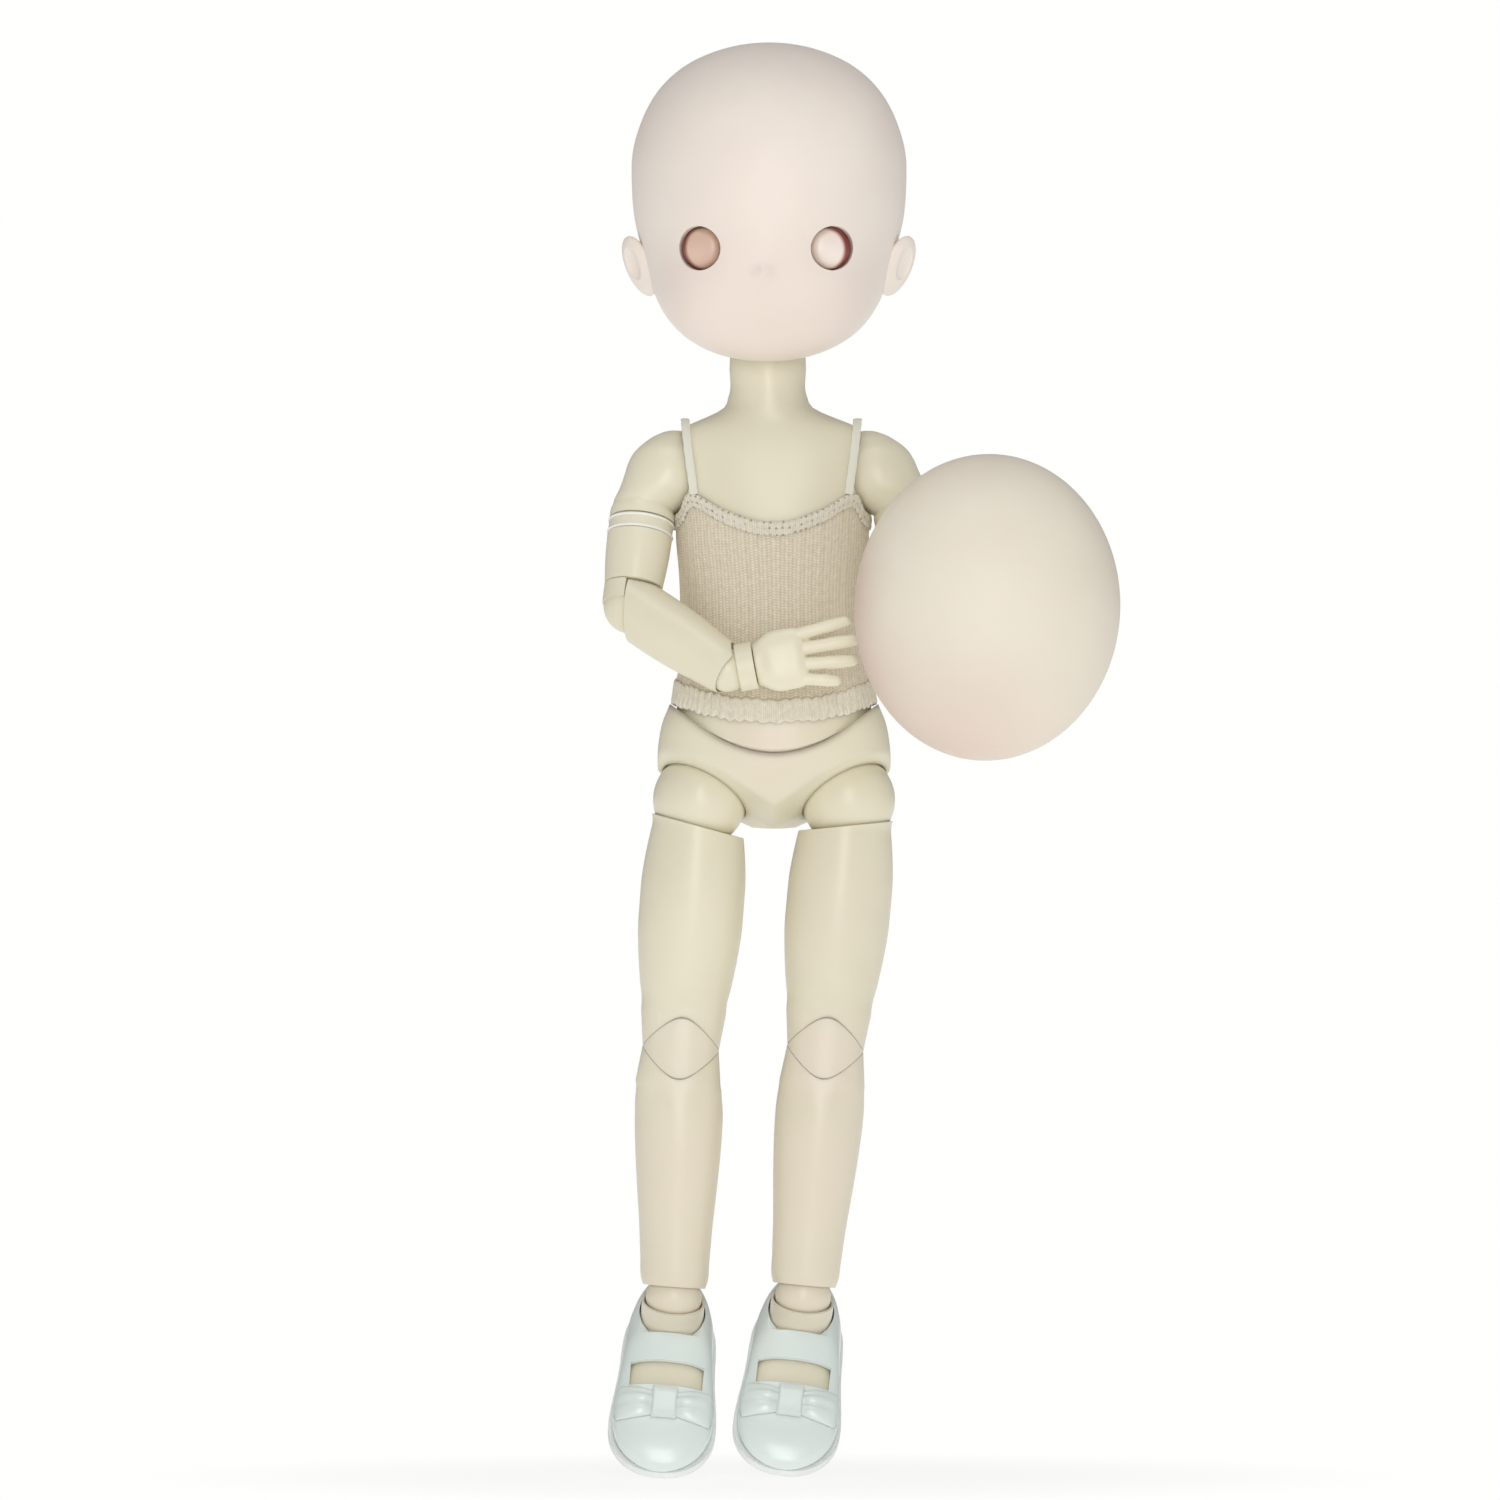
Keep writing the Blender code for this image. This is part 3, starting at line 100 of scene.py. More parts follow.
# trunk
MID_X = 0.6
NECK_TOP_Z = 79.0
SHOULDER_Z, SHOULDER_X, SHOULDER_R = 50.8, 22.3, 9.1
SHOULDER_PLANE = 21.8
WAIST_AT, WAIST_R = (0.9, 0.0, 9.7), 25.1
TORSO = [  # z, centre x, half width, front depth, back depth, squareness
    (79.0, -0.4, 8.3, 8.3, 8.3, 2.0), (74.0, -0.5, 8.5, 8.5, 8.5, 2.0),
    (67.5, -0.5, 8.7, 8.7, 8.7, 2.0), (64.6, -0.3, 10.3, 9.0, 9.2, 2.1),
    (62.6, 0.0, 14.6, 9.3, 9.8, 2.3), (60.6, 0.2, 19.4, 9.8, 10.2, 2.6),
    (57.5, 0.3, 22.2, 10.6, 10.8, 2.8), (50.0, 0.4, 22.6, 11.9, 11.6, 2.7),
    (42.0, 0.5, 20.9, 12.7, 11.9, 2.5), (34.0, 0.6, 20.4, 13.2, 11.8, 2.4),
    (22.0, 0.8, 19.7, 12.7, 11.2, 2.3), (10.0, 0.9, 20.0, 13.2, 11.8, 2.3),
    (2.0, 0.9, 20.9, 13.9, 12.8, 2.3), (-6.0, 0.9, 22.4, 14.3, 13.6, 2.3),
    (-14.0, 0.9, 23.4, 14.3, 13.8, 2.3), (-20.0, 0.9, 23.4, 14.3, 13.8, 2.3),
]
PELVIS = [
    (6.0, 0.9, 20.4, 13.6, 12.8, 2.3), (-1.0, 0.9, 23.2, 14.3, 13.7, 2.3),
    (-5.0, 0.9, 24.8, 14.4, 14.1, 2.4), (-9.0, 0.9, 25.6, 14.1, 14.4, 2.4), (-13.0, 0.9, 25.9, 13.6, 14.6, 2.5),
    (-20.0, 0.9, 25.6, 12.4, 13.8, 2.5), (-25.5, 0.9, 24.6, 10.4, 11.6, 2.4),
    (-28.4, 0.9, 22.6, 7.2, 8.2, 2.2),
]
HIP_X, HIP_Z, HIP_R = 16.5, -22.2, 10.4
HIP_RIM = (0.47, 0.42, 0.776)  # from the ball's centre into the pelvis, right side's x
HIP_RIM_REAR = (0.47, 0.20, 0.86)  # the same behind, where the rim is higher for the leg to swing back
HIP_RIM_CONE = 80.0

# legs
THIGH_LEAN, SHIN_LEAN = {"r": 4.4, "l": 5.3}, {"r": 1.6, "l": 5.1}
THIGH_LENGTH, SHIN_LENGTH = 55.3, 55.4
THIGH_RIM_TILT, THIGH_RIM_CONE = 11.0, 57.0
THIGH = [  # distance below the hip, half width, front depth, back depth
    (3.0, 10.4, 10.3, 10.4), (5.6, 10.1, 10.0, 10.2), (8.5, 10.5, 10.4, 10.6), (12.0, 11.0, 10.8, 11.2),
    (20.0, 11.6, 11.2, 11.8), (27.0, 11.6, 11.0, 11.5), (34.0, 11.1, 10.4, 10.8),
    (41.0, 10.2, 9.4, 9.6), (47.0, 9.3, 8.3, 8.4), (51.0, 8.7, 7.9, 7.9), (63.0, 8.3, 7.8, 7.8),
]
KNEE_R, KNEE_HALF_W, KNEE_TONGUE = 7.8, 8.5, 2.4
KNEE_POWER = 2.5  # roundness of the knee's section, 2 is an ellipse
THIGH_END_W, SHIN_END_W = 9.45, 9.5  # half widths at the two knee pins
SHIN = [  # distance below the knee
    (-8.0, 8.3, 7.8, 7.8), (3.0, 8.9, 7.9, 7.9), (8.0, 9.6, 8.4, 8.8), (15.0, 9.8, 8.6, 10.2),
    (23.0, 9.5, 8.4, 10.3), (31.0, 8.9, 7.9, 9.3), (39.0, 8.2, 7.4, 8.1), (47.0, 7.7, 7.1, 7.3),
    (51.5, 7.4, 6.9, 6.9), (53.1, 6.9, 6.6, 6.6),
]
ANKLE_R, ANKLE_RIM_CONE = 6.2, 66.0
FOOT_POINT = 45.0  # how far the toes point down in this pose
FOOT_LEAN = {"r": 0.7, "l": 1.9}
FOOT_RIM_BACK, FOOT_RIM_CONE = 22.5, 80.0
SOLE_DROP, SOLE_THICK = 17.0, 1.8
SHOE_WALL, SHOE_MID = 0.85, -11.5
SHOE = [  # distance in front of the ankle, half width, height of the top
    (-11.4, 0.0, -8.0), (-11.0, 3.0, -4.0), (-9.8, 5.6, -2.0), (-7.5, 7.7, -1.2), (-4.0, 9.0, -0.9), (2.0, 9.7, -1.2),
    (8.2, 9.9, -2.6), (14.0, 10.3, -4.8), (20.0, 10.9, -6.8), (25.0, 11.2, -8.0), (30.0, 10.8, -9.2), (34.5, 8.9, -10.9),
    (37.3, 6.0, -12.9), (38.7, 3.0, -14.2), (39.0, 0.0, -14.7),
]

# arms
ARM_LEAN, ARM_FORWARD = {"r": 6.6, "l": 13.0}, {"r": 19.0, "l": 14.0}
ARM_OFFSET = 5.1  # the shaft runs this far outside the shoulder ball's centre
ARM_TURN = {"r": -102.9, "l": -135.0}  # turns the elbow's hinge, 0 is a hinge along X
ELBOW_BEND = {"r": 59.0, "l": 59.0}
UPPER_ARM_LENGTH, FOREARM_LENGTH = 32.6, 27.7
ELBOW_R, ELBOW_RIM = 6.1, 4.7
RING_TOP, RING_HEIGHT = 12.6, 3.6
FINGERS = {"r": (12.8, 13.8, 12.8, 8.6), "l": (8.0, 9.8, 9.6, 7.2)}
PALM_LENGTH = {"r": 17.6, "l": 21.0}
UPPER_ARM = [(11.0, 7.2), (16.0, 7.2), (22.0, 7.0), (27.9, 6.45)]
FOREARM = [(-6.0, 6.8), (2.0, 6.9), (9.0, 6.95), (16.0, 6.7), (22.0, 6.1), (26.5, 5.7), (28.6, 5.3)]
WRIST_R, WRIST_RIM = 4.8, 0.9
COLLAR_R, COLLAR_FROM, COLLAR_TO = 5.3, 2.4, 6.2
HAND_TO = {"r": (0.98, -0.05, 0.18), "l": (-0.20, -0.96, 0.14)}  # where the fingers point
PALM_TO = {"r": (0.08, 0.99, -0.1), "l": (-0.85, 0.2, 0.1)}  # where the palm faces
SHOULDER_CAP = [  # height, centre outward, half width, half depth
    (8.8, -0.7, 2.6, 2.6), (7.35, -0.5, 5.1, 5.1), (5.2, -0.25, 7.2, 7.1), (2.8, 0.05, 8.75, 8.6), (0.4, 0.3, 9.4, 9.1),
    (-1.9, 0.5, 9.6, 9.2), (-6.4, 2.1, 9.0, 8.3), (-8.5, 4.1, 7.7, 7.4), (-9.6, 5.0, 6.95, 6.95), (-11.2, 5.1, 7.2, 7.2),
    (-12.45, 5.1, 7.2, 7.2),
]

# camisole
CAMI_OUT, CAMI_IN = 1.25, 0.4
STRAP_W, STRAP_T = 1.9, 0.6

# ------------------------------------------------------------------ scene
parts = bpy.data.collections.new("ball_jointed_doll")
cutters = bpy.data.collections.new("doll_cutters")
bpy.context.scene.collection.children.link(parts)
bpy.context.scene.collection.children.link(cutters)


BUILT = {}  # each fine piece by its CAD node's name


# ------------------------------------------------------------------ tools
PLACE = {}  # each joint frame's matrix in the doll's frame, in millimetres


def curve_through(keys, t):
    """Smooth values at t through keys, rows of (t, value, value ...)."""
    keys = np.array(keys, float)
    order = np.argsort(keys[:, 0])
    keys = keys[order]
    x, y = keys[:, 0], keys[:, 1:]
    slope = np.zeros_like(y)
    step = np.diff(x)[:, None]
    rise = np.diff(y, axis=0) / step
    slope[1:-1] = (rise[:-1] * step[1:] + rise[1:] * step[:-1]) / (step[1:] + step[:-1])
    slope[1:-1] = np.where(rise[:-1] * rise[1:] <= 0, 0, slope[1:-1])
    slope[0], slope[-1] = rise[0], rise[-1]
    t = min(max(t, x[0]), x[-1])
    i = int(min(np.searchsorted(x, t, side="right") - 1, len(x) - 2))
    h = x[i + 1] - x[i]
    s = (t - x[i]) / h
    return (
        (2 * s**3 - 3 * s**2 + 1) * y[i] + (s**3 - 2 * s**2 + s) * h * slope[i]
        + (-2 * s**3 + 3 * s**2) * y[i + 1] + (s**3 - s**2) * h * slope[i + 1]
    )


def oval(cx, cy, z, a, front, back, square, sides):
    """A ring round +Z: half width a, depth front towards -Y and back towards +Y."""
    ring = []
    for k in range(sides):
        t = 2 * math.pi * k / sides
        c, s = math.cos(t), math.sin(t)
        x = a * math.copysign(abs(c) ** (2 / square), c)
        y = (back if s > 0 else front) * math.copysign(abs(s) ** (2 / square), s)
        ring.append((cx + x, cy + y, z))
    return ring


def circle(z, r, sides, cx=0.0, cy=0.0):
    return oval(cx, cy, z, r, r, r, 2.0, sides)


def ball_rings(r, start, end, steps, sides, cz=0.0):
    """Rings on a ball from polar angle start to end, in degrees from +Z."""
    rings = []
    for k in range(steps + 1):
        t = math.radians(start + (end - start) * k / steps)
        if abs(math.sin(t)) < 1e-6:
            rings.append([(0.0, 0.0, cz + r * math.cos(t))])
        else:
            rings.append(circle(cz + r * math.cos(t), r * math.sin(t), sides))
    return rings


def finish_object(name, shape, slot=None, parent=None, cutter=False, sharp=35):
    """Turns a bmesh in millimetres into an object in metres, faces out."""
    bmesh.ops.scale(shape, vec=(MM, MM, MM), verts=shape.verts)
    bmesh.ops.remove_doubles(shape, verts=shape.verts, dist=1e-7)
    bmesh.ops.recalc_face_normals(shape, faces=shape.faces)
    if shape.calc_volume(signed=True) < 0:
        bmesh.ops.reverse_faces(shape, faces=shape.faces)
    mesh = bpy.data.meshes.new(name)
    shape.to_mesh(mesh)
    shape.free()
    mesh.shade_smooth()
    mesh.set_sharp_from_angle(angle=math.radians(sharp))
    obj = bpy.data.objects.new("make_" + name, mesh)
    (cutters if cutter else parts).objects.link(obj)
    if not cutter:
        BUILT[name] = (obj, slot)
    obj.parent = parent
    return obj


def loft(name, rings, slot="skin", parent=None, cutter=False, sharp=35):
    """One closed skin through unlike sections; a ring of one point is a pole."""
    shape = bmesh.new()
    rows = [[shape.verts.new(p) for p in ring] for ring in rings]
    for a, b in zip(rows, rows[1:]):
        n = max(len(a), len(b))
        for k in range(n):
            m = (k + 1) % n
            corners = [a[k if len(a) > 1 else 0], a[m if len(a) > 1 else 0], b[m if len(b) > 1 else 0], b[k if len(b) > 1 else 0]]
            shape.faces.new(tuple(dict.fromkeys(corners)))
    for row in (rows[0], rows[-1]):
        if len(row) > 1:
            shape.faces.new(row)
    return finish_object(name, shape, slot, parent, cutter, sharp)


def loft_round(name, rings, slot, parent):
    """A closed skin whose last ring meets its first, such as the wall of a tube."""
    shape = bmesh.new()
    rows = [[shape.verts.new(p) for p in ring] for ring in rings]
    n = len(rows[0])
    for a, b in zip(rows, rows[1:] + rows[:1]):
        for k in range(n):
            shape.faces.new((a[k], a[(k + 1) % n], b[(k + 1) % n], b[k]))
    return finish_object(name, shape, slot, parent)


def lathe(name, profile, sides, slot="skin", parent=None, cutter=False, matrix=None, sharp=35):
    """A turned shape: profile runs (radius, height) from its top pole down its outer side to its bottom pole."""
    profile = list(profile)
    if profile[0][1] < profile[-1][1]:
        profile.reverse()
    mesh = bpy.data.meshes.new(name)
    mesh.from_pydata([(r * MM, 0, z * MM) for r, z in profile], [(k, k + 1) for k in range(len(profile) - 1)], [])
    obj = bpy.data.objects.new("make_" + name, mesh)
    (cutters if cutter else parts).objects.link(obj)
    screw = obj.modifiers.new("turn", "SCREW")
    screw.angle = 2 * math.pi
    screw.steps = screw.render_steps = sides
    screw.use_merge_vertices = True
    screw.merge_threshold = 1e-6
    screw.use_smooth_shade = True
    if not cutter:
        BUILT[name] = (obj, slot)
    obj.parent = parent
    if matrix is not None:
        obj.location = matrix.to_translation() * MM
        obj.rotation_euler = matrix.to_euler()
    return obj


def arc(r, start, end, steps, cz=0.0):
    """Profile points of a ball from polar angle start to end, in degrees from +Z."""
    turns = [math.radians(start + (end - start) * k / steps) for k in range(steps + 1)]
    return [(abs(r * math.sin(t)) if abs(math.sin(t)) > 1e-6 else 0.0, cz + r * math.cos(t)) for t in turns]


def block(name, low, high, parent=None):
    """A box cutter."""
    low, high = Vector(low), Vector(high)
    shape = bmesh.new()
    bmesh.ops.create_cube(shape, size=1.0, matrix=Matrix.Translation((low + high) / 2) @ Matrix.Diagonal((*(high - low), 1)))
    return finish_object(name, shape, parent=parent, cutter=True)


def rod(name, r, start, end, sides, slot=None, parent=None, cutter=True):
    """A round bar between two points."""
    start, end = Vector(start), Vector(end)
    turn = (end - start).to_track_quat("Z", "Y").to_matrix().to_4x4()
    shape = bmesh.new()
    bmesh.ops.create_cone(
        shape, cap_ends=True, cap_tris=False, segments=sides, radius1=r, radius2=r, depth=(end - start).length,
        matrix=Matrix.Translation((start + end) / 2) @ turn,
    )
    return finish_object(name, shape, slot, parent, cutter)


def sphere(name, r, sides, slot, parent):
    shape = bmesh.new()
    bmesh.ops.create_uvsphere(shape, u_segments=sides, v_segments=sides // 2, radius=r)
    return finish_object(name, shape, slot, parent)


def ball(name, r, centre, sides, parent=None):
    """A ball cutter, a little larger so that its facets stay outside r."""
    shape = bmesh.new()
    bmesh.ops.create_uvsphere(
        shape, u_segments=sides, v_segments=sides // 2, radius=r / math.cos(math.pi / sides), matrix=Matrix.Translation(centre)
    )
    return finish_object(name, shape, parent=parent, cutter=True)


def turned(rings, matrix):
    return [[tuple(matrix @ Vector(p)) for p in ring] for ring in rings]


def combine(obj, tool, how="DIFFERENCE"):
    change = obj.modifiers.new(tool.name, "BOOLEAN")
    change.operation = how
    change.solver = "EXACT"
    change.object = tool
    return obj


def frame_at(name, parent, at, turns=()):
    """An empty at a joint, turned by (axis, degrees) one after another in its own frame."""
    empty = bpy.data.objects.new(name, None)
    parts.objects.link(empty)
    empty.parent = parent
    turn = Matrix.Identity(4)
    for axis, degrees in turns:
        turn = turn @ Matrix.Rotation(math.radians(degrees), 4, axis)
    empty.location = Vector(at) * MM
    empty.rotation_euler = turn.to_euler()
    empty.empty_display_size = 0.005
    PLACE[name] = (PLACE[parent.name] if parent else Matrix.Identity(4)) @ Matrix.Translation(at) @ turn
    return empty


def aimed_frame(name, parent, at, down, front):
    """An empty whose -Z points along down and whose +Y is as near as can be to front, both in the doll's frame."""
    z = -Vector(down).normalized()
    x = Vector(front).cross(z).normalized()
    turn = Matrix((x, z.cross(x), z)).transposed().to_4x4()
    local = PLACE[parent.name].to_3x3().to_4x4().inverted() @ turn
    empty = frame_at(name, parent, at)
    empty.rotation_euler = local.to_euler()
    PLACE[name] = PLACE[name] @ local
    return empty


SIDE = {"r": -1.0, "l": 1.0}
N_LIMB, N_HEAD, N_TRUNK = 72, 144, 144


def even(start, end, n):
    return [start + (end - start) * k / n for k in range(n + 1)]


def ends_even(start, end, n):
    """From start to end, closer together near both, where a rounded end turns over."""
    return [start + (end - start) * (1 - math.cos(math.pi * k / n)) / 2 for k in range(n + 1)]


def ease(t):
    t = min(1.0, max(0.0, t))
    return t * t * (3 - 2 * t)


# ------------------------------------------------------------------ trunk
def trunk_ring(keys, z, sides, grow=0.0):
    cx, a, front, back, square = curve_through(keys, z)
    return oval(cx, 0.0, z, a + grow, front + grow, back + grow, square, sides)


root = frame_at("doll", None, (0, 0, 0))

rings = [[(-0.4, 0.0, NECK_TOP_Z)]]
for z in even(79, -18, 90):
    rings.append(trunk_ring(TORSO, z, N_TRUNK))
torso = loft("torso", rings + [[(MID_X, 0.0, -18.0)]], parent=root)
dome = loft("torso_end", [circle(80, 60, 96)] + [
    [(x + WAIST_AT[0], y, z) for x, y, z in ring] for ring in ball_rings(WAIST_R, 70, 180, 32, 96, WAIST_AT[2])
], cutter=True, parent=root)
combine(torso, dome, "INTERSECT")
for side, s in SIDE.items():
    at = (MID_X * 0.5 + s * SHOULDER_X, 0.0, SHOULDER_Z)
    edge = MID_X * 0.5 + s * SHOULDER_PLANE
    combine(torso, block("shoulder_face_" + side, (min(edge, s * 40), -30, 36.0), (max(edge, s * 40), 30, 70), root))
    combine(torso, ball("shoulder_seat_" + side, SHOULDER_R + 2.5 * GAP, at, 80, root))
    combine(torso, rod("shoulder_bore_" + side, 2.4, (edge, 0, SHOULDER_Z), (edge - s * 14, 0, SHOULDER_Z), 40, parent=root))
combine(torso, rod("neck_bore", 3.3, (-0.4, -1.0, 70), (-0.4, -1.0, 90), 40, parent=root))
combine(torso, ball("neck_seat", NECK_R + GAP, HEAD_AT, 64, root))
combine(torso, lathe("waist_way", [(0, 3), (2.6, 3), (2.6, 0), (9.6, -27), (0, -27)], 64, cutter=True, parent=root, matrix=Matrix.Translation(WAIST_AT)))
combine(torso, ball("waist_ball_seat", 4.6, WAIST_AT, 48, root))

waist = frame_at("waist_joint", root, WAIST_AT)
waist_ball = sphere("waist_ball", 4.2, 48, "core", waist)
combine(waist_ball, block("waist_ball_slot", (-2.2, -6, -6), (2.2, 6, 2.2), waist))

pelvis_at = frame_at("pelvis_joint", waist, (0, 0, 0))
shift = [-v for v in WAIST_AT]


def moved(ring, by):
    return [(x + by[0], y + by[1], z + by[2]) for x, y, z in ring]


rings = [[(0.9, 0, 4.0)]] + [trunk_ring(PELVIS, z, N_TRUNK) for z in even(4, -28.4, 44)] + [[(0.9, 0, -28.6)]]
pelvis = loft("pelvis", [moved(r, shift) for r in rings], parent=pelvis_at)
combine(pelvis, ball("pelvis_seat", WAIST_R + GAP, (0, 0, 0), 112, pelvis_at))
combine(pelvis, rod("waist_post", 1.9, (0, 0, -27.6), (0, 0, 1.6), 40, parent=pelvis_at), "UNION")
for side, s in SIDE.items():
    hip = Vector((s * HIP_X, 0, HIP_Z - WAIST_AT[2]))
    n = Vector((-s * HIP_RIM[0], HIP_RIM[1], HIP_RIM[2])).normalized()
    turn = Vector((0, 0, 1)).rotation_difference(n).to_matrix().to_4x4()
    place = Matrix.Translation(hip) @ turn
    d = HIP_R * math.cos(math.radians(HIP_RIM_CONE))
    combine(pelvis, loft("leg_face_" + side, turned([circle(d, 30, 96), circle(-40, 30, 96)], place), cutter=True, parent=pelvis_at))
    n = Vector((-s * HIP_RIM_REAR[0], HIP_RIM_REAR[1], HIP_RIM_REAR[2])).normalized()
    place = Matrix.Translation(hip) @ Vector((0, 0, 1)).rotation_difference(n).to_matrix().to_4x4()
    combine(pelvis, loft("leg_face_rear_" + side, turned([circle(d, 30, 96), circle(-40, 30, 96)], place), cutter=True, parent=pelvis_at))
    combine(pelvis, ball("hip_seat_" + side, HIP_R + GAP, hip, 88, pelvis_at))

# camisole: a thin tube of knit round the torso, cut low at the front and under the arms
def cami_top(t):
    """Top edge height at an angle round the body, degrees from the doll's left."""
    return float(curve_through([
        (0, 40.0), (25, 42.0), (50, 43.0), (90, 42.5), (130, 43.0), (155, 42.0), (180, 40.0),
        (205, 41.5), (221, 44.9), (246, 41.2), (270, 38.6), (294, 41.2), (319, 44.9), (335, 41.5), (360, 40.0)], t)[0])


def cami_hem(t):
    return -0.2 - 4.3 * math.sin(math.radians(t)) ** 2


def band(name, points, outs, width, thick, slot, parent):
    """A soft flat strap through points, with its outward directions."""
    keys = [(i, *p, *o) for i, (p, o) in enumerate(zip(points, outs))]
    rows = [curve_through(keys, t) for t in even(0, len(points) - 1, 90)]
    points = [Vector(r[:3]) for r in rows]
    outs = [Vector(r[3:]) for r in rows]
    rings = []
    for i, (p, out) in enumerate(zip(points, outs)):
        run = (points[min(i + 1, len(points) - 1)] - points[max(i - 1, 0)]).normalized()
        out = (out - out.dot(run) * run).normalized()
        across = run.cross(out)
        flat = 1 + 0.05 * math.sin(i * 0.9)
        rings.append([tuple(p + across * (width / 2 * flat * math.copysign(abs(math.cos(t)) ** 0.8, math.cos(t))) + out * (thick * (0.5 + 0.5 * math.copysign(abs(math.sin(t)) ** 0.8, math.sin(t)))))
                      for t in [2 * math.pi * k / 20 for k in range(20)]])
    return loft(name, [[tuple(points[0])]] + rings + [[tuple(points[-1])]], slot, parent)


def torso_point(x, z, front, lift):
    cx, a, f, b, square = curve_through(TORSO, z)
    depth = (f if front else b) * max(0.0, 1 - (abs(x - cx) / a) ** square) ** (1 / square)
    return (x, (-1 if front else 1) * (depth + lift), z)


for side, s in SIDE.items():
    x0 = MID_X * 0.5
    path = [torso_point(x0 + s * 17.2, 45.6, True, 0.7), torso_point(x0 + s * 17.6, 49, True, 0.7), torso_point(x0 + s * 18.3, 54, True, 0.75),
            torso_point(x0 + s * 18.8, 58.5, True, 0.9), (x0 + s * 19.1, -4.5, 61.6), (x0 + s * 19.2, 0.0, 61.9), (x0 + s * 19.1, 5.0, 61.6),
            torso_point(x0 + s * 18.8, 58.5, False, 0.9), torso_point(x0 + s * 18.2, 54, False, 0.75), torso_point(x0 + s * 17.2, 44.4, False, 0.7)]
    outs = [(0, -1, 0), (0, -1, 0), (0, -1, 0.1), (0, -1, 0.8), (0, -0.2, 1), (0, 0, 1), (0, 0.2, 1), (0, 1, 0.8), (0, 1, 0.1), (0, 1, 0)]
    band("strap_" + side, path, outs, STRAP_W, STRAP_T, "strap", root)


# ------------------------------------------------------------------ head
def head_outline(t):
    """Half width and height of the head's front outline, t in degrees from the crown."""
    return float(curve_through(HEAD_OUTLINE, t)[0]), HEAD_HALF_Z * math.cos(math.radians(t))


def face_y(x, z, rho, depth):
    """How far the face stands in front of the split."""
    return depth * max(0.0, 1 - rho**2.3) ** (1 / 2.1)


JAW = [(0.0, 0.945), (0.15, 0.985), (0.3, 1.032), (0.45, 1.097), (0.6, 1.16), (0.8, 1.22), (1.0, 1.25)]  # share of the depth, drop of the lower face


def hill(x, z, at_x, at_z, wide, tall):
    return math.exp(-((x - at_x) / wide) ** 2 - ((z - at_z) / tall) ** 2)


def face_relief(x, z):
    """How far the modelled face stands out of the plain egg: nose, mouth, brow and soft eye sockets."""
    relief = 2.0 * hill(x, z, -0.5, 94.0, 1.9, 1.5) + 0.45 * hill(x, z, -0.4, 98.5, 3.2, 4.6) + 0.75 * hill(x, z, 0, 86.5, 6.2, 3.8)
    for s in (-1, 1):
        relief += -1.25 * hill(x, z, s * 14.4, 99.8, 7.0, 5.6) + 0.35 * hill(x, z, s * 11.0, 108.5, 8.0, 4.0) + 0.5 * hill(x, z, s * 15.5, 88.0, 6.5, 5.0)
    return relief


def head_ring(rho, sides, shrink=0.0, depth=FACE_DEPTH, y=None):
    ring = []
    jaw = float(curve_through(JAW, face_y(0, 0, rho, 1.0))[0])
    for k in range(sides):
        t = 360.0 * k / sides
        w, h = head_outline(t if t <= 180 else 360 - t)
        x = math.copysign(w, 180 - t) * rho if t not in (0, 180) else 0.0
        x *= 1 - shrink / 30.0
        z = h * rho * (1 - shrink / HEAD_HALF_Z)
        z *= 1 + (jaw - 1) * min(1.0, max(0.0, -h / 12.0))
        d = face_y(x, z, rho, depth)
        chin = max(0.0, -z - 8.0) / 27.0  # the lower face comes forward
        relief = 0.0 if shrink else face_relief(x, HEAD_MID_Z + z) * ease(d / 6.0)
        ring.append((x, HEAD_SPLIT_Y - d - relief - 3.0 * chin * math.sin(math.pi * min(1, d / depth)), HEAD_MID_Z + z))
    return ring


head_turn = frame_at("neck_turn", root, HEAD_AT)
lathe("neck_ball", arc(NECK_R, 0, 156, 28) + [(2.9, -6.9), (2.9, -13.0), (0, -13.0)], 56, "core", head_turn)
head_at = frame_at("head_joint", head_turn, (0, 0, 0), [("Z", HEAD_YAW)])
to_head = (0.0, 1.0, -HEAD_AT[2])
outer = [math.sin(math.radians(90 * k / 72)) for k in range(1, 73)]
rings = [[tuple(np.mean(head_ring(0.0, 4), axis=0))]] + [head_ring(r, N_HEAD) for r in outer]
inner = [head_ring(r, N_HEAD, HEAD_WALL, FACE_DEPTH - HEAD_WALL) for r in reversed(outer)]
rings += inner + [[tuple(np.mean(head_ring(0.0, 4, HEAD_WALL, FACE_DEPTH - HEAD_WALL), axis=0))]]
shell = loft("head_shell", [moved(r, to_head) for r in rings], "head", head_at)
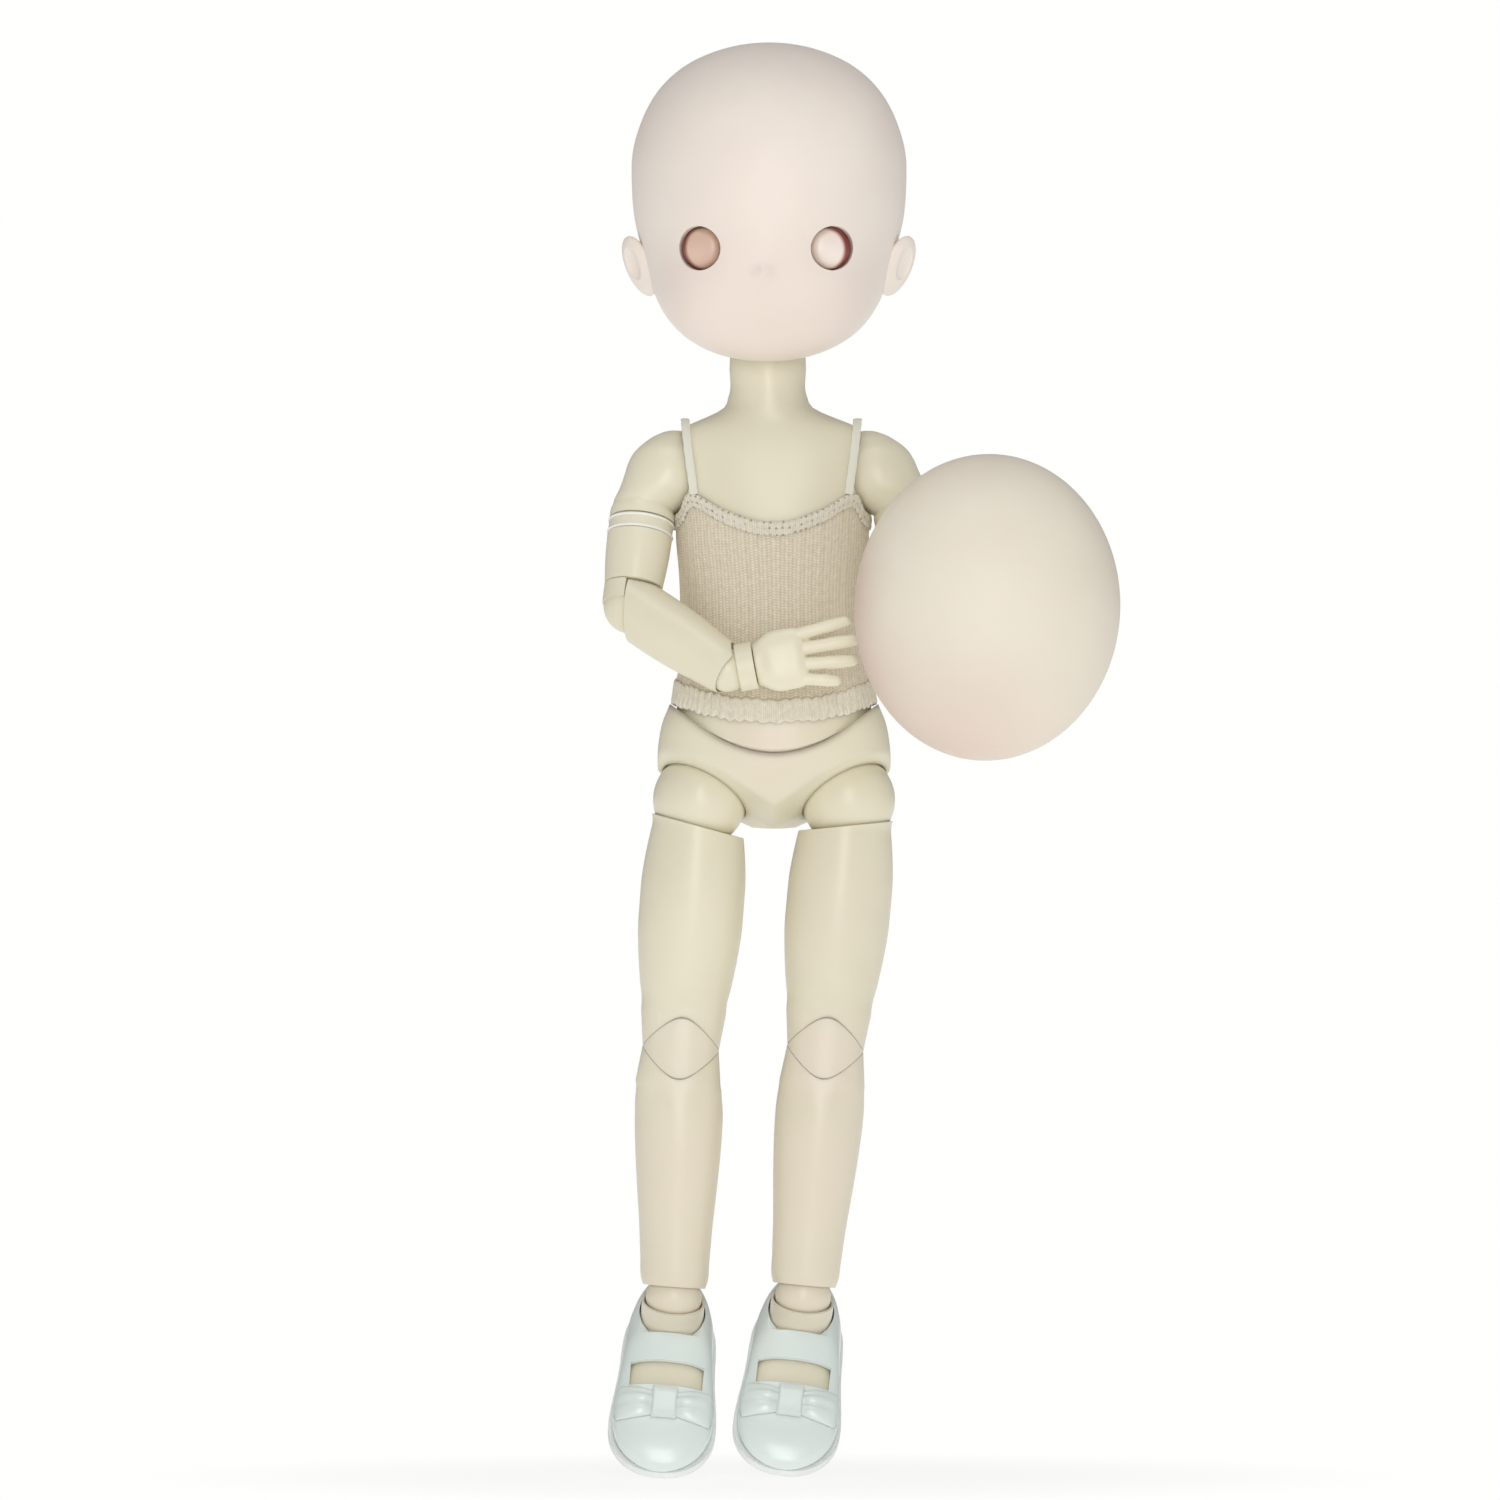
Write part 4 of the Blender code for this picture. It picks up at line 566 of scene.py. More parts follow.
for s in (-1, 1):
    x, y, z = EAR_AT[0] * s, EAR_AT[1] + to_head[1], EAR_AT[2] + to_head[2]
    a, b, c = EAR_SIZE
    tilt = Matrix.Translation((x, y, z)) @ Matrix.Rotation(math.radians(-s * 34), 4, "Z") @ Matrix.Rotation(math.radians(s * 24), 4, "Y") @ Matrix.Diagonal((a * 1.0, b, c, 1))
    tag = "r" if s < 0 else "l"
    combine(shell, loft("ear_" + tag, turned(ball_rings(1.0, 0, 180, 32, 48), tilt), cutter=True, parent=head_at), "UNION")
    tilt = Matrix.Translation((x + s * 2.0, y - 1.8, z + 0.6)) @ Matrix.Rotation(math.radians(-s * 34), 4, "Z") @ Matrix.Rotation(math.radians(s * 24), 4, "Y") @ Matrix.Diagonal((a * 0.7, b * 0.55, c * 0.6, 1))
    combine(shell, loft("ear_hollow_" + tag, turned(ball_rings(1.0, 0, 180, 24, 40), tilt), cutter=True, parent=head_at))
    bore = Matrix.Translation((s * EYE_X, -24.4, EYE_Z + to_head[2])) @ Matrix.Rotation(math.radians(s * 20), 4, "Z") @ Matrix.Rotation(math.radians(90), 4, "X")
    walls = [[(0, 0, -14)]] + [oval(0, 0, z, EYE_R * 1.12, EYE_R, EYE_R, 2.0, 96) for z in (-14, 14)] + [[(0, 0, 14)]]
    combine(shell, loft("eye_hole_" + tag, turned(walls, bore), cutter=True, parent=head_at))
combine(shell, rod("neck_hole", NECK_HOLE_R, (0, 0.8, -16), (0, 0.8, 4), 72, parent=head_at))

for tag, s in SIDE.items():
    front = -4.6
    rings = [[(0, front, 0)]]
    for back in ends_even(0.01, 6.0, 40):
        r = float(curve_through([(0, 0), (0.02, 0.7), (0.1, 1.5), (0.25, 2.3), (0.6, 3.45), (1.1, 4.1), (1.9, 4.45), (3.0, 4.55), (4.0, 5.2), (5.0, 6.7), (6.0, 7.2)], back)[0])
        rings.append([(r * math.cos(a), front + back, r * math.sin(a)) for a in [2 * math.pi * k / 64 for k in range(64)]])
    rings += [[(x * 0.85, 1.6, z * 0.85) for x, y, z in rings[-1]], [(0, 1.6, 0)]]
    place = Matrix.Translation((s * (EYE_X - 1.5), -18.2, EYE_Z + to_head[2])) @ Matrix.Rotation(math.radians(s * 20), 4, "Z")
    loft("eye_" + tag, turned(rings, place), "eye", head_at)


# ------------------------------------------------------------------ legs
def flat_cut(name, parent, n, distance, centre=(0, 0, 0), reach=40.0):
    """A cutter that fills the half space beyond distance along n."""
    n = Vector(n).normalized()
    place = Matrix.Translation(centre) @ Vector((0, 0, 1)).rotation_difference(n).to_matrix().to_4x4()
    rings = [[(-reach, -reach, z), (reach, -reach, z), (reach, reach, z), (-reach, reach, z)] for z in (distance, distance + 2 * reach)]
    return loft(name, turned(rings, place), cutter=True, parent=parent)


def fan(name, parent, s, low, high, half, width, r=14.0):
    """A slot cutter for a bar of half thickness width that swings in the XZ plane.

    Angles go from straight down to outward (s) and on to straight up.
    """
    def along(t):
        return Vector((s * math.sin(t), -math.cos(t)))

    def across(t):
        return Vector((s * math.cos(t), math.sin(t)))

    low, high = math.radians(low), math.radians(high)
    points = [-width * across(low), r * along(low) - width * across(low)]
    points += [(r + 0.5) * along(low + (high - low) * k / 6) for k in range(7)]
    points += [r * along(high) + width * across(high), width * across(high)]
    return loft(name, [[(x, y, z) for x, z in points] for y in (-half, half)], cutter=True, parent=parent)


def half_round_end(pivot, sign, sides, bottom, steps=(1.0, 0.93, 0.86, 0.78, 0.7, 0.6, 0.5, 0.4, 0.3, 0.2, 0.1)):
    """Rings of a limb's end rounded about X through the pivot; sign -1 ends downward."""
    rings = []
    for k in steps:
        ring = []
        for x, y, z in bottom:
            x, y = x * k * KNEE_HALF_W / bottom[0][0], y * k
            ring.append((x, y, pivot + sign * math.sqrt(max(0.0, KNEE_R**2 - y * y))))
        rings.append(ring)
    return rings + [[(bottom[0][0] * 0 + sum(p[0] for p in bottom) / len(bottom), 0, pivot + sign * KNEE_R)]]


def knee_slot(name, parent, pivot, sign):
    """The slot for the tongue in a limb's end (sign -1 ends downward), closed in front and open behind."""
    w = KNEE_TONGUE + SEAM
    points = [(-6.6, sign * 12.0), (-6.6, 0.0)]
    points += [(-6.6 * math.cos(math.radians(15 * k)), -sign * 6.6 * math.sin(math.radians(15 * k))) for k in range(1, 9)]
    points += [(13.0, -sign * 0.2), (13.0, sign * 12.0)]
    return loft(name, [[(x, y, pivot + z) for y, z in points] for x in (-w, w)], cutter=True, parent=parent)


KNEE_PIVOT = KNEE_R + SEAM / 2
LEG = {}
for tag, s in SIDE.items():
    hip = frame_at("hip_" + tag, pelvis_at, (s * HIP_X, 0, HIP_Z - WAIST_AT[2]), [("Y", THIGH_LEAN[tag])])
    hip_ball = sphere("hip_ball_" + tag, HIP_R, 88, "skin", hip)
    combine(hip_ball, ball("hip_core_seat_" + tag, 4.4, (0, 0, 0), 40, hip))
    combine(hip_ball, fan("hip_slot_" + tag, hip, s, 0, 46, 2.0, 2.0))
    lathe("hip_core_" + tag, arc(4.0, 0, 156, 20) + [(1.6, -12.8), (3.0, -12.8), (3.0, -15.4), (0, -15.4)], 40, "core", hip)

    knee = frame_at("knee_" + tag, hip, (0, 0, -THIGH_LENGTH))
    pivot = -THIGH_LENGTH + KNEE_PIVOT
    rings = []
    for d in even(2.6, -pivot, 60):
        w = ease((d - 41.0) / (-pivot - 41.0))
        size = curve_through(THIGH, d) * (1 - w) + np.array((THIGH_END_W, KNEE_R, KNEE_R)) * w
        rings.append(oval(0, 0, -d, *size, 2.0 + (KNEE_POWER - 2.0) * w, N_LIMB))
    rings = [[(0, 0, -2.6)]] + rings + half_round_end(pivot, -1, N_LIMB, rings[-1])
    thigh = loft("thigh_" + tag, rings, "skin", hip)
    tilt = math.radians(THIGH_RIM_TILT)
    combine(thigh, flat_cut("thigh_rim_" + tag, hip, (-s * math.sin(tilt), 0, math.cos(tilt)), -HIP_R * math.cos(math.radians(THIGH_RIM_CONE))))
    combine(thigh, ball("thigh_seat_" + tag, HIP_R + GAP, (0, 0, 0), 96, hip))
    combine(thigh, lathe("thigh_bore_" + tag, [(0, -5), (1.9, -5), (1.9, -12.5), (3.3, -12.5), (3.3, -15.8), (0, -15.8)], 40, cutter=True, parent=hip))
    combine(thigh, knee_slot("thigh_slot_" + tag, hip, pivot, -1))
    combine(thigh, rod("thigh_pin_hole_" + tag, 1.75, (-6.6, 0, pivot), (6.6, 0, pivot), 32, parent=hip))

    # knee link: a wedge in front, a tongue between the two pins
    rings = [[(0, 0, -8.2)]] + [oval(0, 0, z, KNEE_HALF_W, 7.98, 7.98, KNEE_POWER, 96) for z in even(-8.2, 8.2, 24)] + [[(0, 0, 8.2)]]
    link = loft("knee_link_" + tag, rings, "skin", knee)
    combine(link, block("knee_link_back_" + tag, (-20, 0.6, -20), (20, 20, 20), knee))
    for sign in (-1, 1):
        combine(link, rod(f"knee_link_seat_{tag}{sign + 1}", KNEE_R + 0.25, (-20, 0, sign * KNEE_PIVOT), (20, 0, sign * KNEE_PIVOT), 128, parent=knee))
    ring = []
    for sign, start in ((1, 0), (-1, 180)):
        for k in range(31):
            t = math.radians(start + 6 * k)
            ring.append((6.2 * math.cos(t), sign * KNEE_PIVOT + 6.2 * math.sin(t)))
    rings = [[(x, y, z) for y, z in ring] for x in (-KNEE_TONGUE, KNEE_TONGUE)]
    combine(link, loft("knee_tongue_" + tag, rings, cutter=True, parent=knee), "UNION")
    for sign in (-1, 1):
        combine(link, rod(f"knee_pin_{tag}{sign + 1}", 1.5, (-6.2, 0, sign * KNEE_PIVOT), (6.2, 0, sign * KNEE_PIVOT), 32, parent=knee), "UNION")

    # shin, in the knee's frame; its lean against the thigh is moulded in
    slope = math.tan(math.radians(THIGH_LEAN[tag] - SHIN_LEAN[tag]))
    top = oval(0, 0, -KNEE_PIVOT, SHIN_END_W, KNEE_R, KNEE_R, KNEE_POWER, N_LIMB)
    low = SHIN_LENGTH - ANKLE_R * math.cos(math.radians(ANKLE_RIM_CONE))
    rings = []
    for d in even(KNEE_PIVOT, low, 60)[1:]:
        w = 1 - ease((d - KNEE_PIVOT) / 6.0)
        size = curve_through(SHIN, d) * (1 - w) + np.array((SHIN_END_W, KNEE_R, KNEE_R)) * w
        rings.append(oval(slope * d * ease(d / 16.0), 0, -d, *size, 2.0 + (KNEE_POWER - 2.0) * w, N_LIMB))
    rings = list(reversed(half_round_end(-KNEE_PIVOT, 1, N_LIMB, top))) + [top] + rings + [[(slope * 53, 0, rings[-1][0][2])]]
    shin = loft("shin_" + tag, rings, "skin", knee)
    combine(shin, knee_slot("shin_slot_" + tag, knee, -KNEE_PIVOT, 1))
    combine(shin, rod("shin_pin_hole_" + tag, 1.75, (-6.6, 0, -KNEE_PIVOT), (6.6, 0, -KNEE_PIVOT), 32, parent=knee))
    ankle_at = (slope * SHIN_LENGTH, 0, -SHIN_LENGTH)
    combine(shin, ball("shin_seat_" + tag, ANKLE_R + GAP, ankle_at, 72, knee))

    ankle = frame_at("ankle_" + tag, knee, ankle_at, [("Y", FOOT_LEAN[tag]), ("X", FOOT_POINT)])
    sphere("ankle_ball_" + tag, ANKLE_R, 72, "skin", ankle)
    LEG[tag] = ankle


# ------------------------------------------------------------------ feet and shoes
def shoe_at(a):
    """Half width and height of the top at a distance in front of the ankle, with a round toe."""
    w, top = curve_through(SHOE, a)
    if a > 25:
        u = min(1.0, (a - 25) / 14.0)
        w, top = 11.2 * math.sqrt(1 - u ** 2.3), -8.0 - 7.0 * (1 - math.sqrt(1 - u ** 1.12))
    return float(w), float(top)


def shoe_ring(a, grow, sides, low=SOLE_THICK - SOLE_DROP + 0.1, floor=None):
    """An upright section of the shoe, a in front of the ankle, round -Y."""
    w, top = shoe_at(a)
    middle = min(SHOE_MID, (top + low) / 2)  # the toe closes down onto the sole
    w, up = max(0.05, w + grow), max(0.1, top + grow - middle)
    down = max(0.1, middle - (low - grow if floor is None else floor))
    ring = []
    for k in range(sides):
        t = 2 * math.pi * k / sides
        c, s = math.cos(t), math.sin(t)
        e = 2.6 if s > 0 else 5.0
        x = w * math.copysign(abs(c) ** (2 / e), c)
        if s > 0:  # the collar leans in round the ankle
            x *= 1 - 0.17 * s ** (2 / e) * ease((10.0 - a) / 8.0)
        ring.append((x, -a, middle + (up if s > 0 else down) * math.copysign(abs(s) ** (2 / e), s)))
    return ring


def shoe_body(grow, sides, stations):
    """Rings from heel to toe; grow moves the whole skin out."""
    rings = []
    for a in stations:
        middle = 14.0
        reach = 1 + grow / 25.0
        ring = shoe_ring(a, grow, sides)
        rings.append([(x, -(middle + (-y - middle) * reach), z) for x, y, z in ring])
    first, last = rings[0], rings[-1]
    return [[(0, first[0][1], first[0][2])]] + rings + [[(0, last[0][1], last[0][2])]]


STATIONS = (-11.3, -10.8, -9.6, -7.0, -3.0, 3.0, 8.2, 14.0, 20.0, 25.0, 30.0, 34.0, 36.8, 38.4, 38.95)
COLUMN = [  # height above the ankle, half width, front depth, back depth
    (3.2, 6.9, 7.1, 7.0), (0.0, 7.0, 7.2, 7.2), (-2.0, 7.0, 7.5, 7.5), (-4.0, 7.0, 8.5, 7.7), (-8.0, 7.3, 12.0, 7.8), (-12.5, 7.6, 13.0, 7.6),
]
for tag, s in SIDE.items():
    ankle = LEG[tag]
    inside = ends_even(-10.8, 37.4, 64)
    foot = loft("foot_" + tag, shoe_body(-SHOE_WALL - 0.45, 72, inside), "skin", ankle)
    column = [oval(0, 0, z, *curve_through(COLUMN, z), 2.1, 72) for z in even(3.2, -12.5, 30)]
    combine(foot, loft("foot_column_" + tag, column, cutter=True, parent=ankle), "UNION")
    back = math.radians(FOOT_RIM_BACK)
    combine(foot, flat_cut("foot_rim_" + tag, ankle, (0, math.sin(back), math.cos(back)), -ANKLE_R * math.cos(math.radians(FOOT_RIM_CONE))))
    combine(foot, ball("foot_seat_" + tag, ANKLE_R + GAP, (0, 0, 0), 72, ankle))

    shoe = loft("shoe_upper_" + tag, shoe_body(0.0, 88, ends_even(-11.3, 38.95, 72)), "shoe", ankle)
    combine(shoe, loft("shoe_inside_" + tag, shoe_body(-SHOE_WALL, 80, inside), cutter=True, parent=ankle))
    grown = [oval(0, 0, z, *[v + 0.3 for v in curve_through(COLUMN, z)], 2.1, 72) for z in even(6.0, -12.5, 30)]
    combine(shoe, loft("shoe_column_" + tag, grown, cutter=True, parent=ankle))
    side = [(-20, 12), (-20, -1.6), (-10.5, -2.0), (-6, -3.5), (0, -4.3), (5, -4.3), (7.6, -3.8), (8.2, -3.0), (8.2, 12)]
    combine(shoe, loft("ankle_opening_" + tag, [[(x, -a, b) for a, b in side] for x in (-20, 20)], cutter=True, parent=ankle))
    combine(shoe, block("instep_window_" + tag, (-8.1, -20.2, -9.6), (8.1, -14.4, 3), ankle))

    outline = [(shoe_at(a)[0] + 0.75, -a) for a in ends_even(-11.3, 39.0, 96)]
    outline = [(x, y) for x, y in outline] + [(-x, y) for x, y in reversed(outline)]
    rings = [[(x, y, z) for x, y in outline] for z in (-SOLE_DROP, -SOLE_DROP + SOLE_THICK)]
    rings = [[(0, -14, -SOLE_DROP)]] + rings + [[(0, -14, -SOLE_DROP + SOLE_THICK)]]
    loft("shoe_sole_" + tag, rings, "shoe", ankle)

    # bow: two pillows with folds that run to a flat knot
    rings = []
    for x in ends_even(-10.8, 10.8, 84):
        u = abs(x) / 10.8
        size = float(curve_through([(0, 3.3), (0.22, 3.3), (0.5, 3.85), (0.75, 4.3), (0.9, 4.45), (0.97, 4.0), (1.0, 3.1)], u)[0])
        thick = float(curve_through([(0, 1.2), (0.22, 1.2), (0.4, 1.7), (0.65, 1.95), (0.86, 1.7), (0.95, 1.2), (1.0, 0.55)], u)[0])
        drop = -8.3 - 1.9 * u ** 2.5
        fold = 0.5 * (1 - u) ** 0.55 * ease((u - 0.16) / 0.12)
        ring = []
        for k in range(64):
            t = 2 * math.pi * k / 64
            v = -math.cos(t)
            lift = thick * math.copysign(abs(math.sin(t)) ** 0.8, math.sin(t))
            if math.sin(t) > 0:
                lift -= fold * math.sin(t) * (math.exp(-((v + 0.12) / 0.2) ** 2) + 0.7 * math.exp(-((v - 0.55) / 0.16) ** 2))
                lift += 0.3 * fold * math.sin(t) * math.exp(-((v - 0.22) / 0.16) ** 2)
            ring.append((x, -24.9 + size * v, drop + lift + 0.2 * size * v))
        rings.append(ring)
    bow = loft("shoe_bow_" + tag, [[(-10.85, -24.9, -10.2)]] + rings + [[(10.85, -24.9, -10.2)]], "shoe", ankle)
    knot = []
    for y, z in ((-28.5, -7.5), (-28.0, -7.3), (-26.6, -6.95), (-24.9, -6.6), (-23.0, -6.3), (-21.6, -6.15), (-21.1, -6.3)):
        wide = 2.7 + 0.15 * abs(y + 24.9) / 4.2
        knot.append([(-wide, y, z - 3.3), (wide, y, z - 3.3), (wide, y, z - 0.35), (wide * 0.86, y, z), (-wide * 0.86, y, z), (-wide, y, z - 0.35)])
    combine(bow, loft("bow_knot_" + tag, knot, cutter=True, parent=ankle), "UNION")
    combine(bow, loft("bow_seat_" + tag, shoe_body(0.1, 88, ends_even(-11.3, 38.95, 72)), cutter=True, parent=ankle))


# ------------------------------------------------------------------ arms
def finger(name, parent, base, out, lift, length, r):
    """A finger from base; out leans it along X, lift towards the palm."""
    turn = Matrix.Translation(base) @ Matrix.Rotation(math.radians(out), 4, "Y") @ Matrix.Rotation(math.radians(lift), 4, "X")
    keys = [(-1.5, r * 0.95), (length * 0.2, r), (length * 0.42, r * 0.94), (length * 0.55, r), (length * 0.85, r * 0.86), (length, r * 0.72)]
    rings = [oval(0, 0, -d, v, v * 0.94, v * 0.94, 2.1, 28) for d in even(-1.5, length - r * 0.72, 18) for v in [float(curve_through(keys, d)[0])]]
    tip, end = float(curve_through(keys, length - r * 0.72)[0]), length - r * 0.72
    rings += [oval(0, 0, -end - r * 0.72 * math.sin(math.radians(t)), tip * math.cos(math.radians(t)), tip * 0.94 * math.cos(math.radians(t)), tip * 0.94 * math.cos(math.radians(t)), 2.1, 28) for t in (20, 40, 58, 74, 84)]
    rings += [[(0, 0, -length)]]
    return loft(name, turned([[(0, 0, 1.5)]] + rings, turn), cutter=True, parent=parent)


ARM, LIP_HIGHLIGHT = {}, {}
for tag, s in SIDE.items():
    swing = frame_at("shoulder_" + tag, root, (MID_X * 0.5 + s * SHOULDER_X, 0, SHOULDER_Z))
    lathe("shoulder_ball_" + tag, [(0, 13.2), (1.8, 13.2)] + arc(4.5, 24, 180, 20), 40, "core", swing, matrix=Matrix.Rotation(math.radians(-s * 90), 4, "Y"))

    arm = frame_at("arm_" + tag, swing, (0, 0, 0), [("X", -ARM_FORWARD[tag]), ("Y", -s * ARM_LEAN[tag])])
    rings = [[(-s * 0.7, 0, 9.3)]]
    for z in ends_even(9.2, SHOULDER_CAP[-1][0], 56):
        cx, a, d = curve_through([(9.25, -0.7, 0.2, 0.2), (9.12, -0.7, 1.4, 1.4)] + SHOULDER_CAP, z)
        rings.append(oval(s * cx, 0, z, a, d, d, 2.0, 72))
    rings.append([(s * ARM_OFFSET, 0, SHOULDER_CAP[-1][0])])
    cap = loft("shoulder_cap_" + tag, rings, "skin", arm)
    combine(cap, ball("cap_hollow_" + tag, 4.9, (0, 0, 0), 48, arm))
    combine(cap, fan("cap_slot_" + tag, arm, -s, 89 + ARM_LEAN[tag], 141 + ARM_LEAN[tag], 2.1, 2.1, 12.0))
    combine(cap, rod("cap_bore_" + tag, 2.7, (s * ARM_OFFSET, 0, -14), (s * ARM_OFFSET, 0, -6.3), 40, parent=arm))

    shaft = frame_at("arm_axis_" + tag, arm, (s * ARM_OFFSET, 0, 0))
    top, low = -RING_TOP - SEAM / 2, -RING_TOP - RING_HEIGHT + SEAM / 2
    profile = [(0, top), (7.1, top), (7.45, top - 0.35), (7.15, top - 0.8), (7.15, low + 0.8), (7.45, low + 0.35), (7.1, low), (0, low)]
    ring = lathe("arm_ring_" + tag, profile, 80, "skin", shaft)
    combine(ring, rod("ring_bore_" + tag, 2.7, (0, 0, -10), (0, 0, -20), 40, parent=shaft))
    body = -RING_TOP - RING_HEIGHT
    end = ELBOW_RIM - UPPER_ARM_LENGTH
    upper = lathe("upper_arm_" + tag, [(0, -6.6), (2.4, -6.6), (2.4, body)] + [(float(curve_through([(-d, r) for d, r in UPPER_ARM], z)[0]), z) for z in even(body, end, 16)] + [(0, end)], 80, "skin", shaft)
    combine(upper, rod("elbow_bore_" + tag, 4.3, (0, 0, -40), (0, 0, 10.3 - UPPER_ARM_LENGTH), 48, parent=shaft))

    elbow = frame_at("elbow_" + tag, shaft, (0, 0, -UPPER_ARM_LENGTH), [("Z", ARM_TURN[tag])])
    link = lathe("elbow_link_" + tag, [(0, 10), (4.0, 10)] + arc(ELBOW_R, 41, 180, 32), 80, "skin", elbow)
    half = [(6.45 * math.cos(math.radians(t)), min(-0.15, 6.45 * math.sin(math.radians(t)))) for t in range(180, 361, 4)]
    combine(link, loft("elbow_cheek_" + tag, [[(x, y, z) for x, y in half] for z in (0.15, ELBOW_RIM - 0.15)], cutter=True, parent=elbow), "UNION")

    bend = math.radians(ELBOW_BEND[tag])
    fore = frame_at("fore_" + tag, elbow, (0, 0, 0), [("X", ELBOW_BEND[tag])])
    profile = [(float(curve_through(FOREARM, d)[0]), -d) for d in even(-6, FOREARM_LENGTH + WRIST_RIM, 48)]
    forearm = lathe("forearm_" + tag, [(0, 6)] + profile + [(0, -FOREARM_LENGTH - WRIST_RIM)], N_LIMB, "skin", fore)
    combine(forearm, ball("elbow_seat_" + tag, ELBOW_R + GAP, (0, 0, 0), 72, fore))
    combine(forearm, flat_cut("elbow_face_" + tag, fore, (0, -math.cos(bend), math.sin(bend)), -SEAM / 2))
    combine(forearm, flat_cut("elbow_rim_" + tag, fore, (0, math.sin(bend), math.cos(bend)), ELBOW_RIM - SEAM))
    wrist_at = (0, 0, -FOREARM_LENGTH)
    combine(forearm, ball("wrist_seat_" + tag, WRIST_R + GAP, wrist_at, 64, fore))

    wrist = aimed_frame("wrist_" + tag, fore, wrist_at, HAND_TO[tag], PALM_TO[tag])
    combine(forearm, rod("collar_way_" + tag, COLLAR_R + 0.5, (0, 0, -COLLAR_FROM + 0.5), (0, 0, -COLLAR_TO - 3), 72, parent=wrist))
    lathe("wrist_ball_" + tag, arc(WRIST_R, 0, 120, 20) + [(COLLAR_R, -COLLAR_FROM), (COLLAR_R, -COLLAR_TO), (0, -COLLAR_TO)], 64, "skin", wrist)

    mirror = 1.0 if tag == "l" else -1.0
    palm_keys = [(COLLAR_TO + 0.15, 4.5, 3.6, 3.6), (7.6, 5.2, 3.5, 3.4), (PALM_LENGTH[tag] - 8, 6.4, 3.0, 2.7), (PALM_LENGTH[tag] - 3.5, 6.8, 2.5, 2.2), (PALM_LENGTH[tag] - 1, 6.5, 2.0, 1.8), (PALM_LENGTH[tag], 6.0, 1.4, 1.2)]
    palm = [[(0, 0, -COLLAR_TO - 0.15)]] + [oval(0, 0, -d, *curve_through(palm_keys, d), 2.4, 64) for d in even(COLLAR_TO + 0.15, PALM_LENGTH[tag], 28)] + [[(0, 0, -PALM_LENGTH[tag])]]
    hand = loft("hand_" + tag, list(palm), "skin", wrist)
    for i, (x, out, length, r) in enumerate(((-4.8, 6, FINGERS[tag][0], 1.5), (-1.6, 0, FINGERS[tag][1], 1.6), (1.7, -6, FINGERS[tag][2], 1.55), (4.9, -14, FINGERS[tag][3], 1.4))):
        combine(hand, finger(f"finger_{tag}{i}", wrist, (mirror * x, -0.3, 1.6 - PALM_LENGTH[tag]), mirror * out, 6, length, r), "UNION")
    combine(hand, finger("thumb_" + tag, wrist, (mirror * -4.2, 1.4, -9.6), mirror * 9, 16, 10.5, 1.7), "UNION")
    ARM[tag] = wrist
    LIP_HIGHLIGHT[tag] = (shaft, -RING_TOP - RING_HEIGHT / 2)

# removable rear half of the head, held in front of the left arm
cap_at = frame_at("cap_frame", root, CAP_AT, [("Y", CAP_TILT)])


def cap_rings(shrink, sides, steps):
    w, h, depth = CAP_HALF_W - shrink, CAP_HALF_H - shrink, CAP_DEPTH - shrink
    rings = []
    for rho in steps:
        y = -depth * max(0.0, 1 - rho**2.2) ** (1 / 2.1)
        rings.append([(w * rho * math.cos(2 * math.pi * k / sides), y, h * rho * math.sin(2 * math.pi * k / sides)) for k in range(sides)])
    return rings


steps = [math.sin(math.radians(90 * k / 36)) for k in range(1, 37)]
rings = [[(0, -CAP_DEPTH, 0)]] + cap_rings(0.0, 144, steps) + list(reversed(cap_rings(CAP_WALL, 144, steps))) + [[(0, CAP_WALL - CAP_DEPTH, 0)]]
loft("head_cap", rings, "head", cap_at)


# ------------------------------------------------------------------ finished pieces
BODY = {node: obj.parent.name[5:] for node, obj in frame["nodes"].items()}
BUILT_SLOT = {node: slot for node, (obj, slot) in BUILT.items()}
FINE = {}
ROUND = {"hand_r": 0.22, "hand_l": 0.22}  # pieces whose joins are melted together, at this voxel size


def settle(name, obj):
    """The evaluated mesh as one plain object in the doll's frame."""
    graph = bpy.context.evaluated_depsgraph_get()
    mesh = bpy.data.meshes.new_from_object(obj.evaluated_get(graph), depsgraph=graph)
    mesh.transform(obj.matrix_world)
    mesh.name = name
    fine = bpy.data.objects.new(name, mesh)
    bpy.context.scene.collection.objects.link(fine)
    return fine


bpy.context.view_layer.update()
# where each arm ring's painted highlight lies: its middle, axis and half height
for tag, (shaft, z) in LIP_HIGHLIGHT.items():
    turn = shaft.matrix_world
    LIP_HIGHLIGHT[tag] = (list(turn @ Vector((0, 0, z * MM))), list(turn.to_3x3().col[2].normalized()), RING_HEIGHT / 2 * MM)
for name, (obj, slot) in BUILT.items():
    fine = settle(name + "_fine", obj)
    if name in ROUND:
        voxel = fine.modifiers.new("voxel", "REMESH")
        voxel.mode = "VOXEL"
        voxel.voxel_size = ROUND[name] * MM
        soften = fine.modifiers.new("soften", "SMOOTH")
        soften.factor = 0.5
        soften.iterations = 6
        smooth = settle(name + "_smooth", fine)
        bpy.data.objects.remove(fine)
        fine = smooth
        fine.name = name + "_fine"
        fine.data.shade_smooth()
    else:
        fine.data.shade_smooth()
        fine.data.set_sharp_from_angle(angle=math.radians(32))
    FINE[name] = fine
for group in (parts, cutters):
    for old in list(group.objects):
        bpy.data.objects.remove(old, do_unlink=True)
    bpy.data.collections.remove(group)


